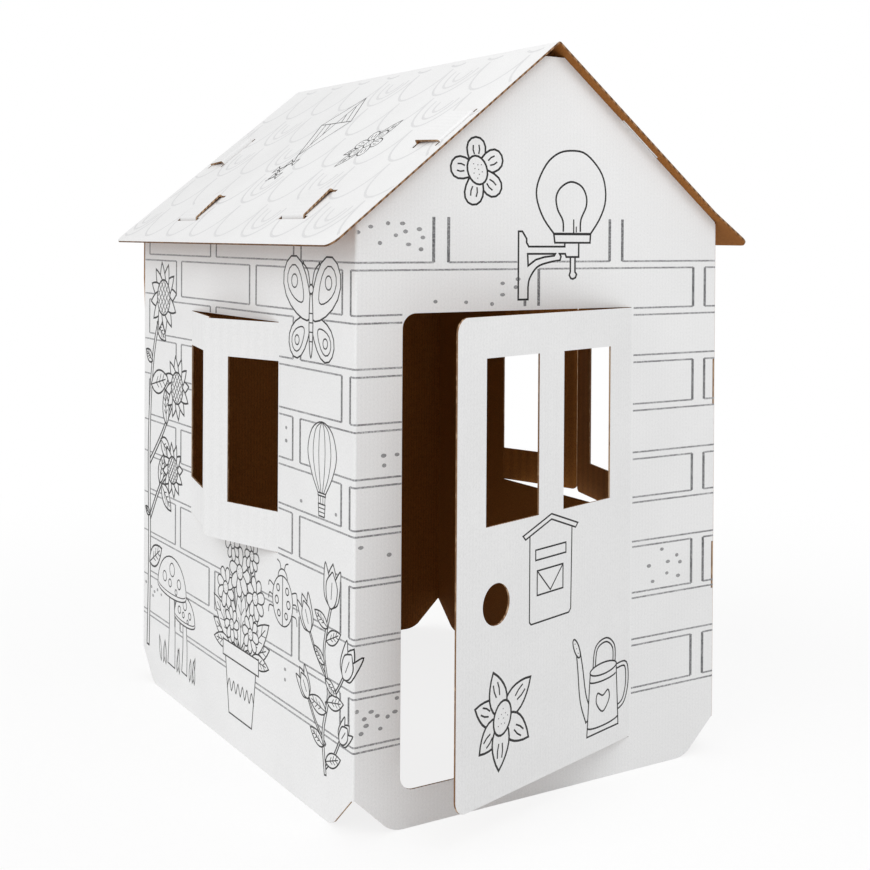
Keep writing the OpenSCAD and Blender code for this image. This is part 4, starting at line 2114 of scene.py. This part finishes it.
@dataclass(frozen=True)
class Studio:
    """A pale floor under plain soft light.

    Attributes:
        floor_reach: Half of the floor's side, in metres.
        sky: The surrounding light's level.
        sun: The key light's level.
        sun_from: The direction that it comes from.
        sun_spread: Its angle in degrees.
        lamp: The gable lamp's power in watts.
        lamp_at: The gable lamp's place, in metres.
        lamp_side: Its side in metres.
    """

    floor_reach: float = 14.0
    sky: float = 0.67
    sun: float = 0.84
    sun_from: Colour = (-0.74, -0.12, 0.6)
    sun_spread: float = 50.0
    lamp: float = 7.4
    lamp_at: Colour = (0.0, -1.55, 2.15)
    lamp_side: float = 0.8

    def build(self) -> None:
        """Makes the floor, the surroundings and the key light."""
        bm = bmesh.new()
        bmesh.ops.create_grid(bm, x_segments=4, y_segments=4, size=self.floor_reach)
        mesh = bpy.data.meshes.new("floor")
        bm.to_mesh(mesh)
        bm.free()
        mesh.materials.append(FloorFinish().build())
        floor = bpy.data.objects.new("floor", mesh)
        bpy.context.scene.collection.objects.link(floor)
        floor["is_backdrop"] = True
        self._surround()
        light = bpy.data.lights.new("key", "SUN")
        light.energy = self.sun
        light.angle = math.radians(self.sun_spread)
        lamp = bpy.data.objects.new("key", light)
        lamp.rotation_euler = Vector(self.sun_from).to_track_quat("Z", "Y").to_euler()
        bpy.context.scene.collection.objects.link(lamp)
        self._light_gable()

    def _light_gable(self) -> None:
        """Makes the soft lamp that lights the gable more than the foot of the walls."""
        light = bpy.data.lights.new("gable", "AREA")
        light.energy = self.lamp
        light.size = self.lamp_side
        lamp = bpy.data.objects.new("gable", light)
        lamp.location = self.lamp_at
        aim = Vector(self.lamp_at) - Vector((0.0, -0.38, 0.95))
        lamp.rotation_euler = aim.to_track_quat("Z", "Y").to_euler()
        bpy.context.scene.collection.objects.link(lamp)

    def _surround(self) -> None:
        """Makes even light all round, plain white where the camera sees it."""
        world = bpy.data.worlds.new("studio")
        world.use_nodes = True
        tree = world.node_tree
        tree.nodes.clear()
        output = tree.nodes.new("ShaderNodeOutputWorld")
        blend = tree.nodes.new("ShaderNodeMixShader")
        seen = tree.nodes.new("ShaderNodeBackground")
        lit = tree.nodes.new("ShaderNodeBackground")
        seen.inputs["Strength"].default_value = 1.0
        seen.inputs["Color"].default_value = (1.0, 1.0, 1.0, 1.0)
        lit.inputs["Strength"].default_value = self.sky
        lit.inputs["Color"].default_value = (1.0, 1.0, 1.0, 1.0)
        tree.links.new(background_rays(tree), blend.inputs["Fac"])
        tree.links.new(lit.outputs["Background"], blend.inputs[1])
        tree.links.new(seen.outputs["Background"], blend.inputs[2])
        tree.links.new(blend.outputs["Shader"], output.inputs["Surface"])
        bpy.context.scene.world = world


@dataclass(frozen=True)
class PhotoCamera:
    """The camera that took the photograph.

    Attributes:
        place: Its place, in millimetres from the house's middle.
        yaw: Its turn from +Y towards +X, in degrees.
        dip: How far it looks down, in degrees.
        roll: Its roll, in degrees.
        focal: Its focal length in pixels.
        frame: The photograph's side in pixels.
        axis_y: The row where its axis meets the photograph.
    """

    place: Colour = (-1250.6, -2115.9, 853.2)
    yaw: float = 31.70
    dip: float = 0.484
    roll: float = 0.341
    focal: float = 1366.7
    frame: float = 870.0
    axis_y: float = 246.9

    def build(self) -> bpy.types.Object:
        """Makes the scene's camera.

        Returns:
            The camera.
        """
        yaw, dip, roll = (math.radians(a) for a in (self.yaw, self.dip, self.roll))
        ahead = Vector((math.sin(yaw) * math.cos(dip), math.cos(yaw) * math.cos(dip), -math.sin(dip)))
        level = Vector((math.cos(yaw), -math.sin(yaw), 0.0))
        above = level.cross(ahead)
        right = level * math.cos(roll) + above * math.sin(roll)
        up = above * math.cos(roll) - level * math.sin(roll)
        data = bpy.data.cameras.new("photo_camera")
        data.sensor_fit = "HORIZONTAL"
        data.sensor_width = 36.0
        data.lens = self.focal / self.frame * data.sensor_width
        data.shift_y = -(self.frame / 2 - self.axis_y) / self.frame
        data.clip_start = 0.05
        camera = bpy.data.objects.new("photo_camera", data)
        place = (Vector(self.place) + Vector((HOUSE_X, HOUSE_Y, 0.0))) * MM
        camera.matrix_world = Matrix.Translation(place) @ Matrix((right, up, -ahead)).transposed().to_4x4()
        bpy.context.scene.collection.objects.link(camera)
        bpy.context.scene.camera = camera
        return camera


def plain(bounds: Iterable[Iterable[float]]) -> list[list[float]]:
    """Turns a box's corners into plain lists.

    Args:
        bounds: The corners.

    Returns:
        The corners as lists of numbers.
    """
    return [[float(value) for value in corner] for corner in bounds]


def main() -> None:
    """Builds the scene in order and logs the sheets' faces and the print's triangles."""
    logging.basicConfig(level=logging.INFO, format="%(message)s")
    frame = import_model()
    cad_box = plain(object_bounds())
    PhotoCamera().build()
    bpy.context.scene.view_settings.view_transform = "Standard"
    finishes = Finishes()
    walls = (finishes.white, finishes.kraft, finishes.edge)
    roof = (finishes.roof_white_with_painted_light, finishes.roof_kraft, finishes.roof_edge_painted_shade)
    for sheet in (
            CardSheet("front_and_left_wall", Slot.WALLS, walls, False),
            CardSheet("back_and_right_wall", Slot.BACK_WALLS, walls, False),
            CardSheet("roof", Slot.ROOF, roof, True)):
        piece = sheet.build(frame["nodes"])
        LOG.info("%s: %d faces", piece.name, len(piece.data.polygons))
    drawing = Print(HouseSizes())
    drawing.draw()
    LOG.info("print: %d triangles", drawing.build(finishes))
    Studio().build()
    {"cad": cad_box, "visual": plain(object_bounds())}


if __name__ == "__main__":
    main()
